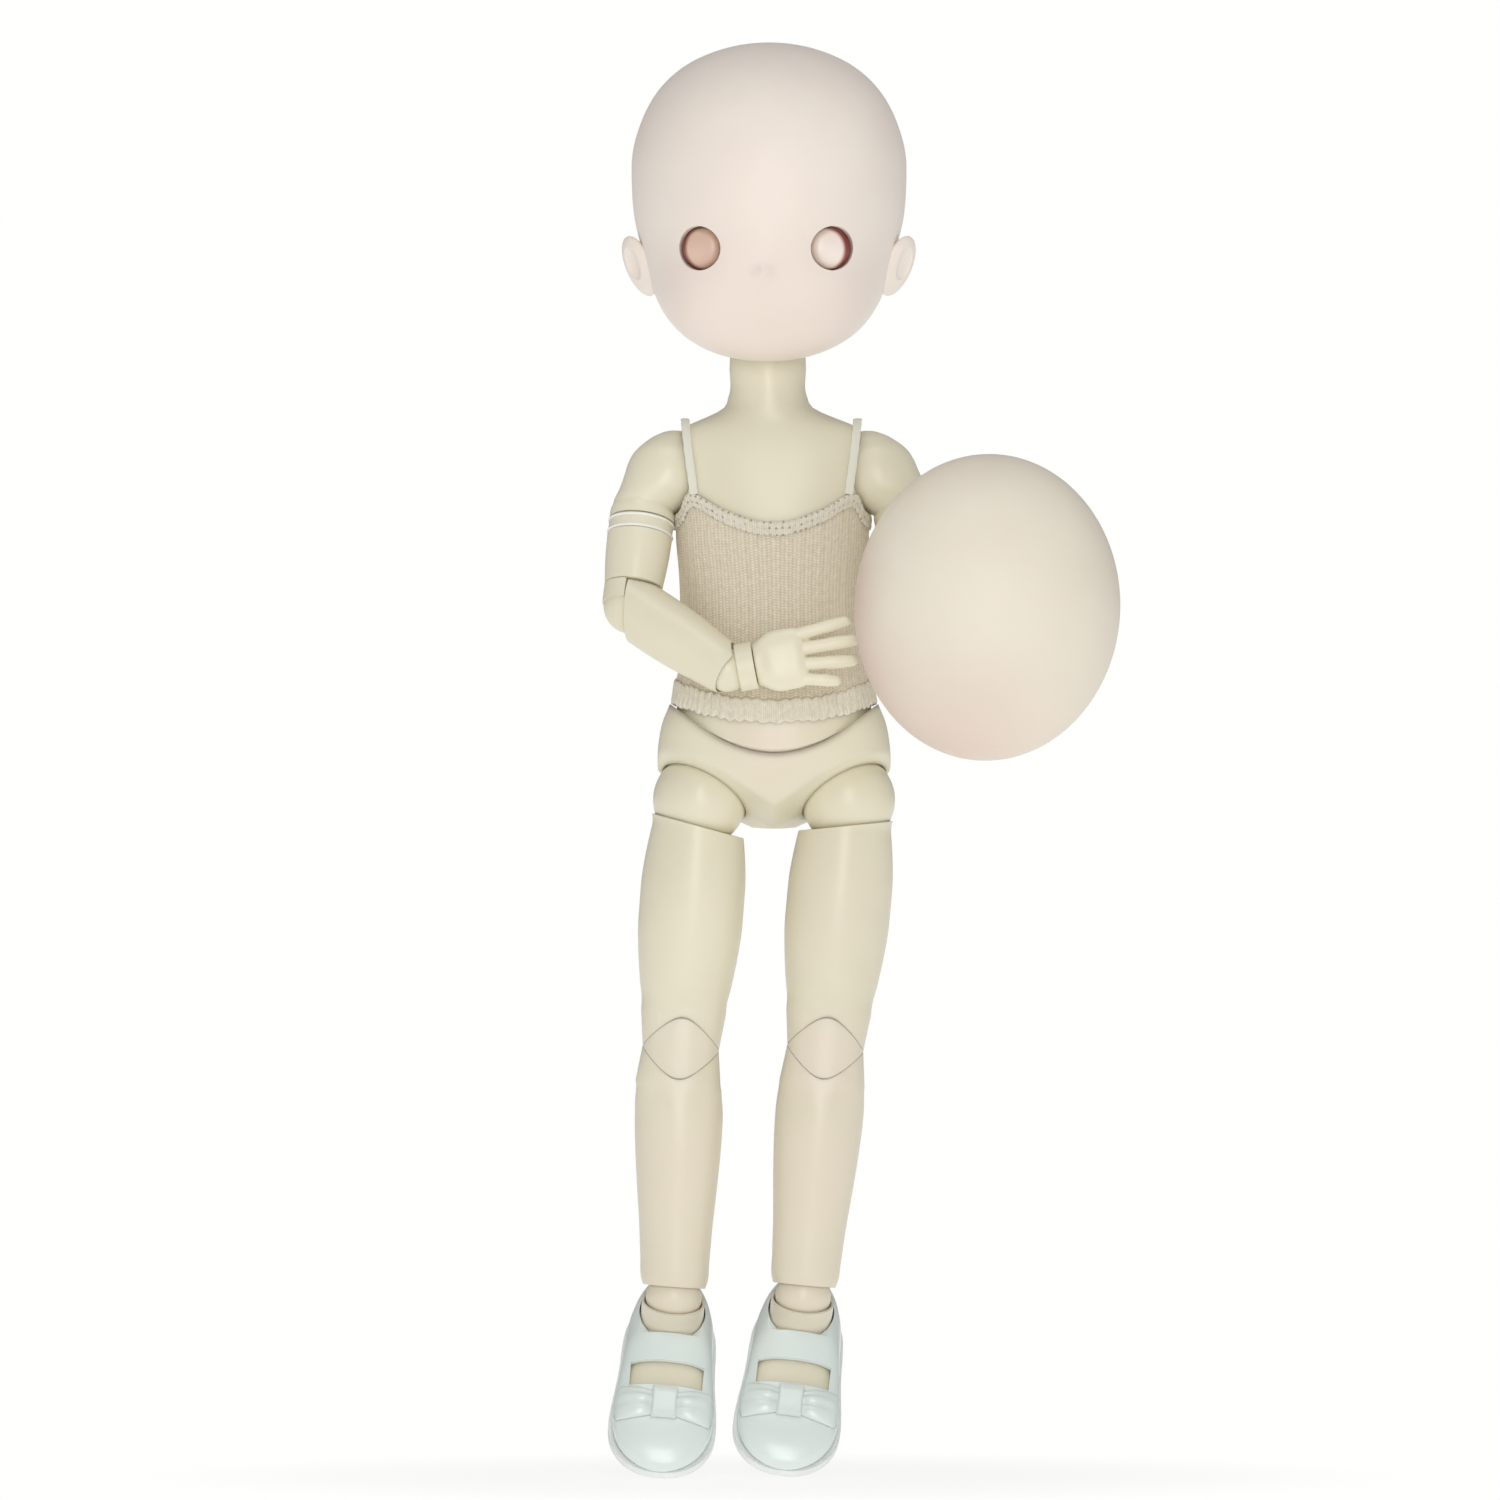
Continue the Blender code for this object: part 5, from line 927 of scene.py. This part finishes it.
# ------------------------------------------------------------------ camisole
def knit_point(t, z, lift):
    """A point of the cloth at angle t and height z, lift outside the torso."""
    cx, a, front, back, square = curve_through(TORSO, z)
    c, s = math.cos(math.radians(t)), math.sin(math.radians(t))
    x = (a + lift) * math.copysign(abs(c) ** (2 / square), c)
    y = ((back if s > 0 else front) + lift) * math.copysign(abs(s) ** (2 / square), s)
    return Vector((cx + x, y, z))


def cloth_lift(t, z, top, hem):
    """How far the knit stands off the body: close fitting, with soft folds."""
    p = Vector((math.cos(math.radians(t)) * 2.2, math.sin(math.radians(t)) * 2.2, z * 0.11))
    folds = 0.16 * noise.noise(p) + 0.08 * noise.noise(p * 2.3)
    front = max(0.0, -math.sin(math.radians(t)))
    folds += 0.12 * front * math.exp(-((z - 9) / 5.0) ** 2) * math.sin(z * 1.5 + 0.04 * t)
    pull = math.exp(-((z - top) / 4.5) ** 2)
    folds -= 0.12 * pull
    gather = ease((hem + 6.5 - z) / 3.0)
    folds += gather * (0.14 + 0.12 * math.sin(math.radians(t) * 62 + 2 * math.sin(math.radians(t * 5))))
    return 0.72 + folds


def sheet_mesh(name, columns, rows, thick, uv=(1.0, 1.0)):
    """A closed ring of cloth; columns(i) gives a column's points from bottom to top. UV is in millimetres of cloth."""
    shape = bmesh.new()
    layer = shape.loops.layers.uv.new("cloth")
    grid = [[shape.verts.new(p) for p in columns(i)] for i in range(rows)]
    across = [0.0]
    for i in range(rows):
        a, b = grid[i][len(grid[i]) // 2].co, grid[(i + 1) % rows][len(grid[i]) // 2].co
        across.append(across[-1] + (a - b).length)
    up = []
    for column in grid:
        run = [0.0]
        for a, b in zip(column, column[1:]):
            run.append(run[-1] + (a.co - b.co).length)
        up.append(run)
    for i in range(rows):
        m = (i + 1) % rows
        for k in range(len(grid[i]) - 1):
            face = shape.faces.new((grid[i][k], grid[m][k], grid[m][k + 1], grid[i][k + 1]))
            for loop, (u, v) in zip(face.loops, ((across[i], up[i][k]), (across[i + 1], up[m][k]), (across[i + 1], up[m][k + 1]), (across[i], up[i][k + 1]))):
                loop[layer].uv = (u, v)
    bmesh.ops.scale(shape, vec=(MM, MM, MM), verts=shape.verts)
    mesh = bpy.data.meshes.new(name)
    shape.to_mesh(mesh)
    shape.free()
    mesh.shade_smooth()
    obj = bpy.data.objects.new(name, mesh)
    bpy.context.scene.collection.objects.link(obj)
    skin = obj.modifiers.new("cloth", "SOLIDIFY")
    skin.thickness = thick * MM
    skin.offset = 1.0
    return obj


TURNS = 540


def knit_column(i):
    t = 360.0 * i / TURNS
    top, hem = cami_top(t), cami_hem(t) + 0.22 * math.sin(math.radians(t) * 62) + 0.15 * math.sin(math.radians(t) * 17)
    return [knit_point(t, hem + (top - hem) * k / 96, cloth_lift(t, hem + (top - hem) * k / 96, top, hem)) for k in range(97)]


camisole = sheet_mesh("camisole_cloth", knit_column, TURNS, 0.3)


def trim_column(i):
    """The soft knitted edging along the neckline and armholes, folded over the cloth's edge."""
    t = 360.0 * i / 1080
    top = cami_top(t)
    wave = 0.12 * math.sin(math.radians(t) * 95)
    points = []
    for k, (up, out) in enumerate(((-2.2, 0.30), (-2.05, 0.52), (-1.5, 0.68), (-1.1, 0.56), (-0.7, 0.66), (-0.1, 0.72), (0.45, 0.62), (0.7, 0.3), (0.6, -0.1))):
        z = top + up + (wave if k > 3 else 0.04 * math.sin(math.radians(t) * 190 + k))
        points.append(knit_point(t, z, cloth_lift(t, top + up, top, -5.0) + out - (0.25 if k == 8 else 0)))
    return points


trim = sheet_mesh("camisole_edging", trim_column, 1080, 0.2)


def hem_column(i):
    """The gathered band round the bottom."""
    t = 360.0 * i / 1080
    hem = cami_hem(t) + 0.22 * math.sin(math.radians(t) * 62) + 0.15 * math.sin(math.radians(t) * 17)
    points = []
    for k, (up, out) in enumerate(((-0.35, 0.05), (-0.3, 0.42), (0.2, 0.52), (1.0, 0.46), (2.0, 0.44), (3.0, 0.44), (3.8, 0.46), (4.3, 0.5), (4.55, 0.34))):
        z = hem + up
        points.append(knit_point(t, z, cloth_lift(t, max(z, hem), 40.0, hem) + out + 0.06 * math.sin(math.radians(t) * 124 + k)))
    return points


hem = sheet_mesh("camisole_hem", hem_column, 1080, 0.2)


# ------------------------------------------------------------------ materials
def plain(name, colour, rough, **sockets):
    """A Principled material and its shader; sockets hold the values that are the same all over."""
    mat = bpy.data.materials.new(name)
    mat.use_nodes = True
    shader = mat.node_tree.nodes["Principled BSDF"]
    shader.inputs["Base Color"].default_value = (*colour, 1.0)
    shader.inputs["Roughness"].default_value = rough
    for key, value in sockets.items():
        shader.inputs[key.replace("_", " ")].default_value = value
    return mat, mat.node_tree, shader


def node(tree, kind, **settings):
    made = tree.nodes.new(kind)
    for key, value in settings.items():
        if key.startswith("in_"):
            made.inputs[key[3:].replace("_", " ")].default_value = value
        else:
            setattr(made, key, value)
    return made


def ramp(tree, source, stops, ease_in=True):
    made = tree.nodes.new("ShaderNodeValToRGB")
    made.color_ramp.interpolation = "EASE" if ease_in else "LINEAR"
    while len(made.color_ramp.elements) < len(stops):
        made.color_ramp.elements.new(0.5)
    for element, (place, colour) in zip(made.color_ramp.elements, stops):
        element.position = place
        element.color = (*colour, 1.0) if len(colour) == 3 else colour
    tree.links.new(source, made.inputs["Fac"])
    return made


def mix(tree, how, factor, a, b):
    made = tree.nodes.new("ShaderNodeMix")
    made.data_type = "RGBA"
    made.blend_type = how
    for value, socket in ((factor, made.inputs[0]), (a, made.inputs[6]), (b, made.inputs[7])):
        if isinstance(value, bpy.types.NodeSocket):
            tree.links.new(value, socket)
        else:
            socket.default_value = value if isinstance(value, float) else (*value, 1.0)
    return made.outputs[2]


def at(tree):
    return tree.nodes.new("ShaderNodeTexCoord").outputs["Object"]


def blush_and_shade_spot(tree, place, centre, radius, power=1.0):
    """1 at a centre in the doll's frame, in millimetres, falling softly to 0 at radius. It places blush spots and also
    painted shade.
    """
    far = node(tree, "ShaderNodeVectorMath", operation="DISTANCE")
    tree.links.new(place, far.inputs[0])
    far.inputs[1].default_value = [v * MM for v in centre]
    fall = node(tree, "ShaderNodeMapRange", interpolation_type="SMOOTHSTEP")
    tree.links.new(far.outputs["Value"], fall.inputs["Value"])
    fall.inputs["From Min"].default_value = 0.0
    fall.inputs["From Max"].default_value = radius * MM
    fall.inputs["To Min"].default_value = power
    fall.inputs["To Max"].default_value = 0.0
    return fall.outputs["Result"]


def soft_edges(tree, shader, height, strength, distance, radius):
    """Fine surface texture over edges that are slightly rounded, as moulded parts are."""
    edge = node(tree, "ShaderNodeBevel", samples=6, in_Radius=radius * MM)
    bump = node(tree, "ShaderNodeBump", in_Strength=strength, in_Distance=distance * MM)
    tree.links.new(height, bump.inputs["Height"])
    tree.links.new(edge.outputs["Normal"], bump.inputs["Normal"])
    tree.links.new(bump.outputs["Normal"], shader.inputs["Normal"])


def vinyl(name, low, high, pink, spots, rough, rough_spread, coat, texture, scatter=0.08, edge=0.28, lip_highlight=None):
    """Moulded doll plastic: a slow cloudy change of colour, warmer where spots are, and a fine skin. On the head cap
    the spots are painted shade, and on an arm ring a pale band along both edges is a painted highlight.
    """
    mat, tree, shader = plain(name, high, rough, Subsurface_Weight=scatter, Subsurface_Scale=0.004, Coat_Weight=coat, Coat_Roughness=0.25)
    shader.inputs["Subsurface Radius"].default_value = (1.0, 0.55, 0.35)
    shader.inputs["Specular IOR Level"].default_value = 0.45
    place = at(tree)
    cloud = node(tree, "ShaderNodeTexNoise", in_Scale=28.0, in_Detail=3.0, in_Roughness=0.5)
    tree.links.new(place, cloud.inputs["Vector"])
    colour = ramp(tree, cloud.outputs["Fac"], [(0.3, low), (0.7, high)]).outputs["Color"]
    # spots tint the colour; the head cap's spots are painted shade
    for centre, radius, power in spots:
        colour = mix(tree, "MIX", blush_and_shade_spot(tree, place, centre, radius, power), colour, pink)
    # painted highlight: a pale band along both edges of an arm ring, where its rounded lips catch the light
    if lip_highlight:
        centre, axis, height = lip_highlight
        offset = node(tree, "ShaderNodeVectorMath", operation="SUBTRACT")
        tree.links.new(place, offset.inputs[0])
        offset.inputs[1].default_value = centre
        along = node(tree, "ShaderNodeVectorMath", operation="DOT_PRODUCT")
        tree.links.new(offset.outputs["Vector"], along.inputs[0])
        along.inputs[1].default_value = axis
        apart = node(tree, "ShaderNodeMath", operation="ABSOLUTE")
        tree.links.new(along.outputs["Value"], apart.inputs[0])
        edges = node(tree, "ShaderNodeMapRange")
        tree.links.new(apart.outputs[0], edges.inputs["Value"])
        edges.inputs["From Min"].default_value = height * 0.5
        edges.inputs["From Max"].default_value = height * 0.6
        colour = mix(tree, "MIX", edges.outputs["Result"], colour, (0.93, 0.92, 0.86))
    tree.links.new(colour, shader.inputs["Base Color"])
    grain = node(tree, "ShaderNodeTexNoise", in_Scale=1900.0, in_Detail=3.0, in_Roughness=0.6)
    tree.links.new(place, grain.inputs["Vector"])
    wear = node(tree, "ShaderNodeTexNoise", in_Scale=90.0, in_Detail=4.0, in_Roughness=0.6)
    tree.links.new(place, wear.inputs["Vector"])
    spread = node(tree, "ShaderNodeMapRange")
    tree.links.new(wear.outputs["Fac"], spread.inputs["Value"])
    spread.inputs["From Min"].default_value = 0.3
    spread.inputs["From Max"].default_value = 0.7
    spread.inputs["To Min"].default_value = rough - rough_spread
    spread.inputs["To Max"].default_value = rough + rough_spread
    tree.links.new(spread.outputs["Result"], shader.inputs["Roughness"])
    soft_edges(tree, shader, grain.outputs["Fac"], texture, 0.05, edge)
    return mat


SKIN_SPOTS = [((-19, -8, -77), 17, 0.5), ((12, -8, -79), 18, 0.85), ((-19, -8, -104), 30, 0.55), ((12, -8, -106), 30, 0.65),
              ((0, -14, -9), 17, 0.75), ((-20, 0, -132), 26, 0.55), ((8, 0, -134), 26, 0.55), ((15, -12, -45), 24, 0.35)]
HEAD_SPOTS = [((0, -26, 82), 34, 0.6), ((-20, -20, 92), 20, 0.5), ((22, -20, 92), 20, 0.35), ((0, -26, 112), 26, 0.35)]
MATS = {
    "head": vinyl("matte_vinyl", (0.86, 0.77, 0.70), (0.90, 0.82, 0.75), (0.85, 0.72, 0.645), HEAD_SPOTS, 0.46, 0.03, 0.0, 0.10, edge=0.12),
    # the head cap's spots are painted shade: darker towards its left edge, top left and lower left
    "cap": vinyl("matte_vinyl_cap", (0.80, 0.73, 0.62), (0.84, 0.775, 0.66), (0.74, 0.58, 0.50), [((42, -45, -6), 30, 0.7), ((20, -40, 6), 22, 0.85), ((15, -40, 24), 20, 0.95)], 0.50, 0.04, 0.0, 0.10),
    "skin": vinyl("satin_resin", (0.765, 0.715, 0.55), (0.815, 0.765, 0.60), (0.80, 0.70, 0.585), SKIN_SPOTS, 0.36, 0.02, 0.12, 0.05),
    "pelvis": vinyl("satin_resin_pelvis", (0.765, 0.715, 0.55), (0.815, 0.765, 0.60), (0.80, 0.70, 0.585), SKIN_SPOTS, 0.36, 0.02, 0.12, 0.05, edge=2.4),
    "core": vinyl("inner_joint_resin", (0.60, 0.55, 0.43), (0.66, 0.60, 0.48), (0.66, 0.58, 0.47), [], 0.42, 0.05, 0.0, 0.08),
}


def shoe_material():
    mat, tree, shader = plain("glossy_shoe_vinyl", (0.77, 0.85, 0.815), 0.28, Coat_Weight=0.3, Coat_Roughness=0.2, Subsurface_Weight=0.05, Subsurface_Scale=0.003)
    shader.inputs["Subsurface Radius"].default_value = (0.6, 1.0, 0.9)
    place = at(tree)
    cloud = node(tree, "ShaderNodeTexNoise", in_Scale=60.0, in_Detail=2.0)
    tree.links.new(place, cloud.inputs["Vector"])
    colour = ramp(tree, cloud.outputs["Fac"], [(0.3, (0.745, 0.83, 0.795)), (0.7, (0.79, 0.865, 0.83))]).outputs["Color"]
    tree.links.new(colour, shader.inputs["Base Color"])
    orange = node(tree, "ShaderNodeTexNoise", in_Scale=420.0, in_Detail=2.0)
    tree.links.new(place, orange.inputs["Vector"])
    rough = node(tree, "ShaderNodeMapRange")
    tree.links.new(cloud.outputs["Fac"], rough.inputs["Value"])
    rough.inputs["To Min"].default_value = 0.25
    rough.inputs["To Max"].default_value = 0.33
    tree.links.new(rough.outputs["Result"], shader.inputs["Roughness"])
    soft_edges(tree, shader, orange.outputs["Fac"], 0.06, 0.08, 0.3)
    return mat


MATS["shoe"] = shoe_material()
for tag in SIDE:
    # each arm ring's material paints a white highlight along its two edges
    MATS["arm_ring_" + tag] = vinyl("satin_resin_ring_" + tag, (0.765, 0.715, 0.55), (0.815, 0.765, 0.60), (0.80, 0.70, 0.585), [], 0.28, 0.04, 0.35, 0.05, edge=0.15, lip_highlight=LIP_HIGHLIGHT[tag])


def sole_material():
    mat, tree, shader = plain("shoe_sole_rubber", (0.78, 0.81, 0.79), 0.38)
    place = at(tree)
    cloud = node(tree, "ShaderNodeTexNoise", in_Scale=200.0, in_Detail=3.0)
    tree.links.new(place, cloud.inputs["Vector"])
    colour = ramp(tree, cloud.outputs["Fac"], [(0.3, (0.82, 0.85, 0.835)), (0.7, (0.87, 0.895, 0.88))]).outputs["Color"]
    tree.links.new(colour, shader.inputs["Base Color"])
    soft_edges(tree, shader, cloud.outputs["Fac"], 0.1, 0.05, 0.3)
    return mat


MATS["sole"] = sole_material()


def eye_material(name, inner, outer, side, rough):
    """A blank eye insert: paler at the middle, with painted shade where it turns away behind the rim, a dark red
    crescent on the outer side.
    """
    mat, tree, shader = plain(name, inner, rough, Subsurface_Weight=0.1, Subsurface_Scale=0.002, Coat_Weight=0.3, Coat_Roughness=0.2)
    place = at(tree)
    colour = ramp(tree, blush_and_shade_spot(tree, place, side, 7.5), [(0.2, outer), (0.4, inner)]).outputs["Color"]
    tree.links.new(colour, shader.inputs["Base Color"])
    fine = node(tree, "ShaderNodeTexNoise", in_Scale=900.0, in_Detail=2.0)
    tree.links.new(place, fine.inputs["Vector"])
    soft_edges(tree, shader, fine.outputs["Fac"], 0.05, 0.03, 0.15)
    return mat


# painted shade: each insert turns dark red towards its outer side, where the eye hole's rim shades it. The two inserts
# are alike blanks; the left one is painted paler, with its highlight painted in, and the right one darker, as painted
# shade.
MATS["eye_r"] = eye_material("eye_insert_r", (0.74, 0.53, 0.42), (0.26, 0.06, 0.035), (-13.8, -22.4, 99.9), 0.38)
MATS["eye_l"] = eye_material("eye_insert_l", (0.95, 0.84, 0.77), (0.26, 0.035, 0.025), (11.6, -22.4, 99.5), 0.35)


def knit_material(name, low, high, rib, row, depth, holes=None):
    """Rib knit: upright ribs crossed by finer rows of stitches, in UV millimetres."""
    mat, tree, shader = plain(name, high, 0.86, Sheen_Weight=0.35, Sheen_Roughness=0.5)
    shader.inputs["Sheen Tint"].default_value = (1.0, 0.95, 0.86, 1.0)
    shader.inputs["Specular IOR Level"].default_value = 0.2
    uv = node(tree, "ShaderNodeUVMap", uv_map="cloth").outputs["UV"]
    blur = node(tree, "ShaderNodeTexNoise", in_Scale=0.9, in_Detail=2.0)
    tree.links.new(uv, blur.inputs["Vector"])
    waves = []
    for direction, pitch, bend in (("X", rib, 0.6), ("Y", row, 1.1), ("X", rib * 2.6, 0.8)):
        wave = node(tree, "ShaderNodeTexWave", wave_type="BANDS", bands_direction=direction, wave_profile="SIN", in_Scale=0.314159 / pitch, in_Distortion=bend, in_Detail=2.0, in_Detail_Scale=1.4)
        tree.links.new(uv, wave.inputs["Vector"])
        waves.append(wave.outputs["Fac"])
    stitch = node(tree, "ShaderNodeMath", operation="MULTIPLY")
    tree.links.new(waves[0], stitch.inputs[0])
    tree.links.new(waves[1], stitch.inputs[1])
    height = node(tree, "ShaderNodeMath", operation="MULTIPLY_ADD")
    tree.links.new(waves[2], height.inputs[0])
    height.inputs[1].default_value = 0.16
    tree.links.new(stitch.outputs[0], height.inputs[2])
    colour = ramp(tree, height.outputs[0], [(0.05, low), (0.75, high)]).outputs["Color"]
    shade = ramp(tree, blur.outputs["Fac"], [(0.25, (0.88, 0.88, 0.88)), (0.75, (1.0, 1.0, 1.0))]).outputs["Color"]
    colour = mix(tree, "MULTIPLY", 1.0, colour, shade)
    if holes:
        dots = node(tree, "ShaderNodeTexVoronoi", feature="F1", in_Scale=holes, in_Randomness=0.25)
        tree.links.new(uv, dots.inputs["Vector"])
        dark = ramp(tree, dots.outputs["Distance"], [(0.12, (0.42, 0.40, 0.36)), (0.3, (1.0, 1.0, 1.0))]).outputs["Color"]
        colour = mix(tree, "MULTIPLY", 0.8, colour, dark)
    tree.links.new(colour, shader.inputs["Base Color"])
    bump = node(tree, "ShaderNodeBump", in_Strength=0.75, in_Distance=depth * MM)
    tree.links.new(height.outputs[0], bump.inputs["Height"])
    tree.links.new(bump.outputs["Normal"], shader.inputs["Normal"])
    return mat


MATS["cloth"] = knit_material("rib_knit", (0.69, 0.61, 0.475), (0.87, 0.79, 0.64), 0.9, 0.6, 0.12)
MATS["hem"] = knit_material("knit_hem", (0.80, 0.74, 0.61), (0.94, 0.89, 0.76), 0.5, 0.42, 0.13)
MATS["edging"] = knit_material("knit_edging", (0.76, 0.70, 0.58), (0.92, 0.87, 0.74), 0.55, 0.42, 0.12, holes=0.7)
MATS["strap"] = knit_material("strap_elastic", (0.82, 0.81, 0.71), (0.93, 0.925, 0.85), 0.4, 0.3, 0.06)

# ------------------------------------------------------------------ onto the frame
SPECIAL = {"head_shell": "head", "head_cap": "cap", "pelvis": "pelvis", "arm_ring_r": "arm_ring_r", "arm_ring_l": "arm_ring_l", "eye_r": "eye_r", "eye_l": "eye_l", "shoe_sole_r": "sole", "shoe_sole_l": "sole"}
for name, fine in FINE.items():
    kind = SPECIAL.get(name) or BUILT_SLOT[name]
    fine.data.materials.clear()
    fine.data.materials.append(MATS[kind])
    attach(fine, BODY[name])
    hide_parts(name)
for piece, kind in ((camisole, "cloth"), (trim, "edging"), (hem, "hem")):
    piece.data.materials.append(MATS[kind])
    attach(piece, "torso")
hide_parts("camisole")

# ------------------------------------------------------------------ camera, floor and light
scene = bpy.context.scene
scene.view_settings.view_transform = "Standard"
scene.view_settings.look = "None"
scene.view_settings.exposure = 0.0
FAR = 4.0  # metres, a long lens, because the photograph shows almost no perspective
camera = bpy.data.objects.new("camera", bpy.data.cameras.new("camera"))
scene.collection.objects.link(camera)
scene.camera = camera
camera.data.sensor_width = 36.0
camera.data.lens = 36.0 * FAR / (1500 / 4.5 * MM)
camera.location = ((750 - 770) / 4.5 * MM, -FAR, (700 - 750) / 4.5 * MM)
camera.rotation_euler = (math.radians(90), 0, 0)
camera.data.clip_start, camera.data.clip_end = 0.1, 60.0


def lamp(name, place, target, wide, tall, power, colour=(1.0, 1.0, 1.0)):
    light = bpy.data.lights.new(name, "AREA")
    light.shape = "RECTANGLE"
    light.size, light.size_y = wide, tall
    light.energy = power
    light.color = colour
    obj = bpy.data.objects.new(name, light)
    scene.collection.objects.link(obj)
    obj.location = place
    obj.rotation_euler = (Vector(target) - Vector(place)).to_track_quat("-Z", "Y").to_euler()
    return obj


lamp("front_softbox", (0.06, -1.7, 0.3), (0, 0, 0.0), 0.3, 1.2, 9.0, (1.0, 0.99, 0.96))
lamp("top_softbox", (0.0, -0.6, 1.4), (0, 0, 0.0), 0.8, 0.7, 4.5)

world = bpy.data.worlds.new("studio")
scene.world = world
world.use_nodes = True
tree = world.node_tree
back = tree.nodes["Background"]
back.inputs["Color"].default_value = (1.0, 1.0, 0.985, 1.0)
back.inputs["Strength"].default_value = 1.0
# the white backdrop is bright to look at, and lights the doll more gently
soft = node(tree, "ShaderNodeBackground", in_Strength=0.44)
ray = node(tree, "ShaderNodeLightPath")
either = node(tree, "ShaderNodeMixShader")
tree.links.new(ray.outputs["Is Camera Ray"], either.inputs[0])
tree.links.new(soft.outputs["Background"], either.inputs[1])
tree.links.new(back.outputs["Background"], either.inputs[2])
tree.links.new(either.outputs["Shader"], tree.nodes["World Output"].inputs["Surface"])

floor_mesh = bpy.data.meshes.new("floor")
shape = bmesh.new()
bmesh.ops.create_circle(shape, cap_ends=True, segments=96, radius=12.0, matrix=Matrix.Translation((0, 0, CAD_BOX[0][2] - 0.0004)))
shape.to_mesh(floor_mesh)
shape.free()
floor = bpy.data.objects.new("floor", floor_mesh)
scene.collection.objects.link(floor)
mat, tree, shader = plain("pale_floor", (0.92, 0.92, 0.91), 0.8)
shader.inputs["Specular IOR Level"].default_value = 0.0
glow = node(tree, "ShaderNodeEmission", in_Color=(1.0, 1.0, 0.985, 1.0), in_Strength=1.0)
far = node(tree, "ShaderNodeVectorMath", operation="LENGTH")
tree.links.new(at(tree), far.inputs[0])
fade = node(tree, "ShaderNodeMapRange", interpolation_type="SMOOTHSTEP")
tree.links.new(far.outputs["Value"], fade.inputs["Value"])
fade.inputs["From Min"].default_value = 0.172
fade.inputs["From Max"].default_value = 0.23
fade.inputs["To Min"].default_value = 0.86
blend = node(tree, "ShaderNodeMixShader")
tree.links.new(fade.outputs["Result"], blend.inputs[0])
tree.links.new(shader.outputs["BSDF"], blend.inputs[1])
tree.links.new(glow.outputs["Emission"], blend.inputs[2])
tree.links.new(blend.outputs["Shader"], tree.nodes["Material Output"].inputs["Surface"])
floor.data.materials.append(mat)
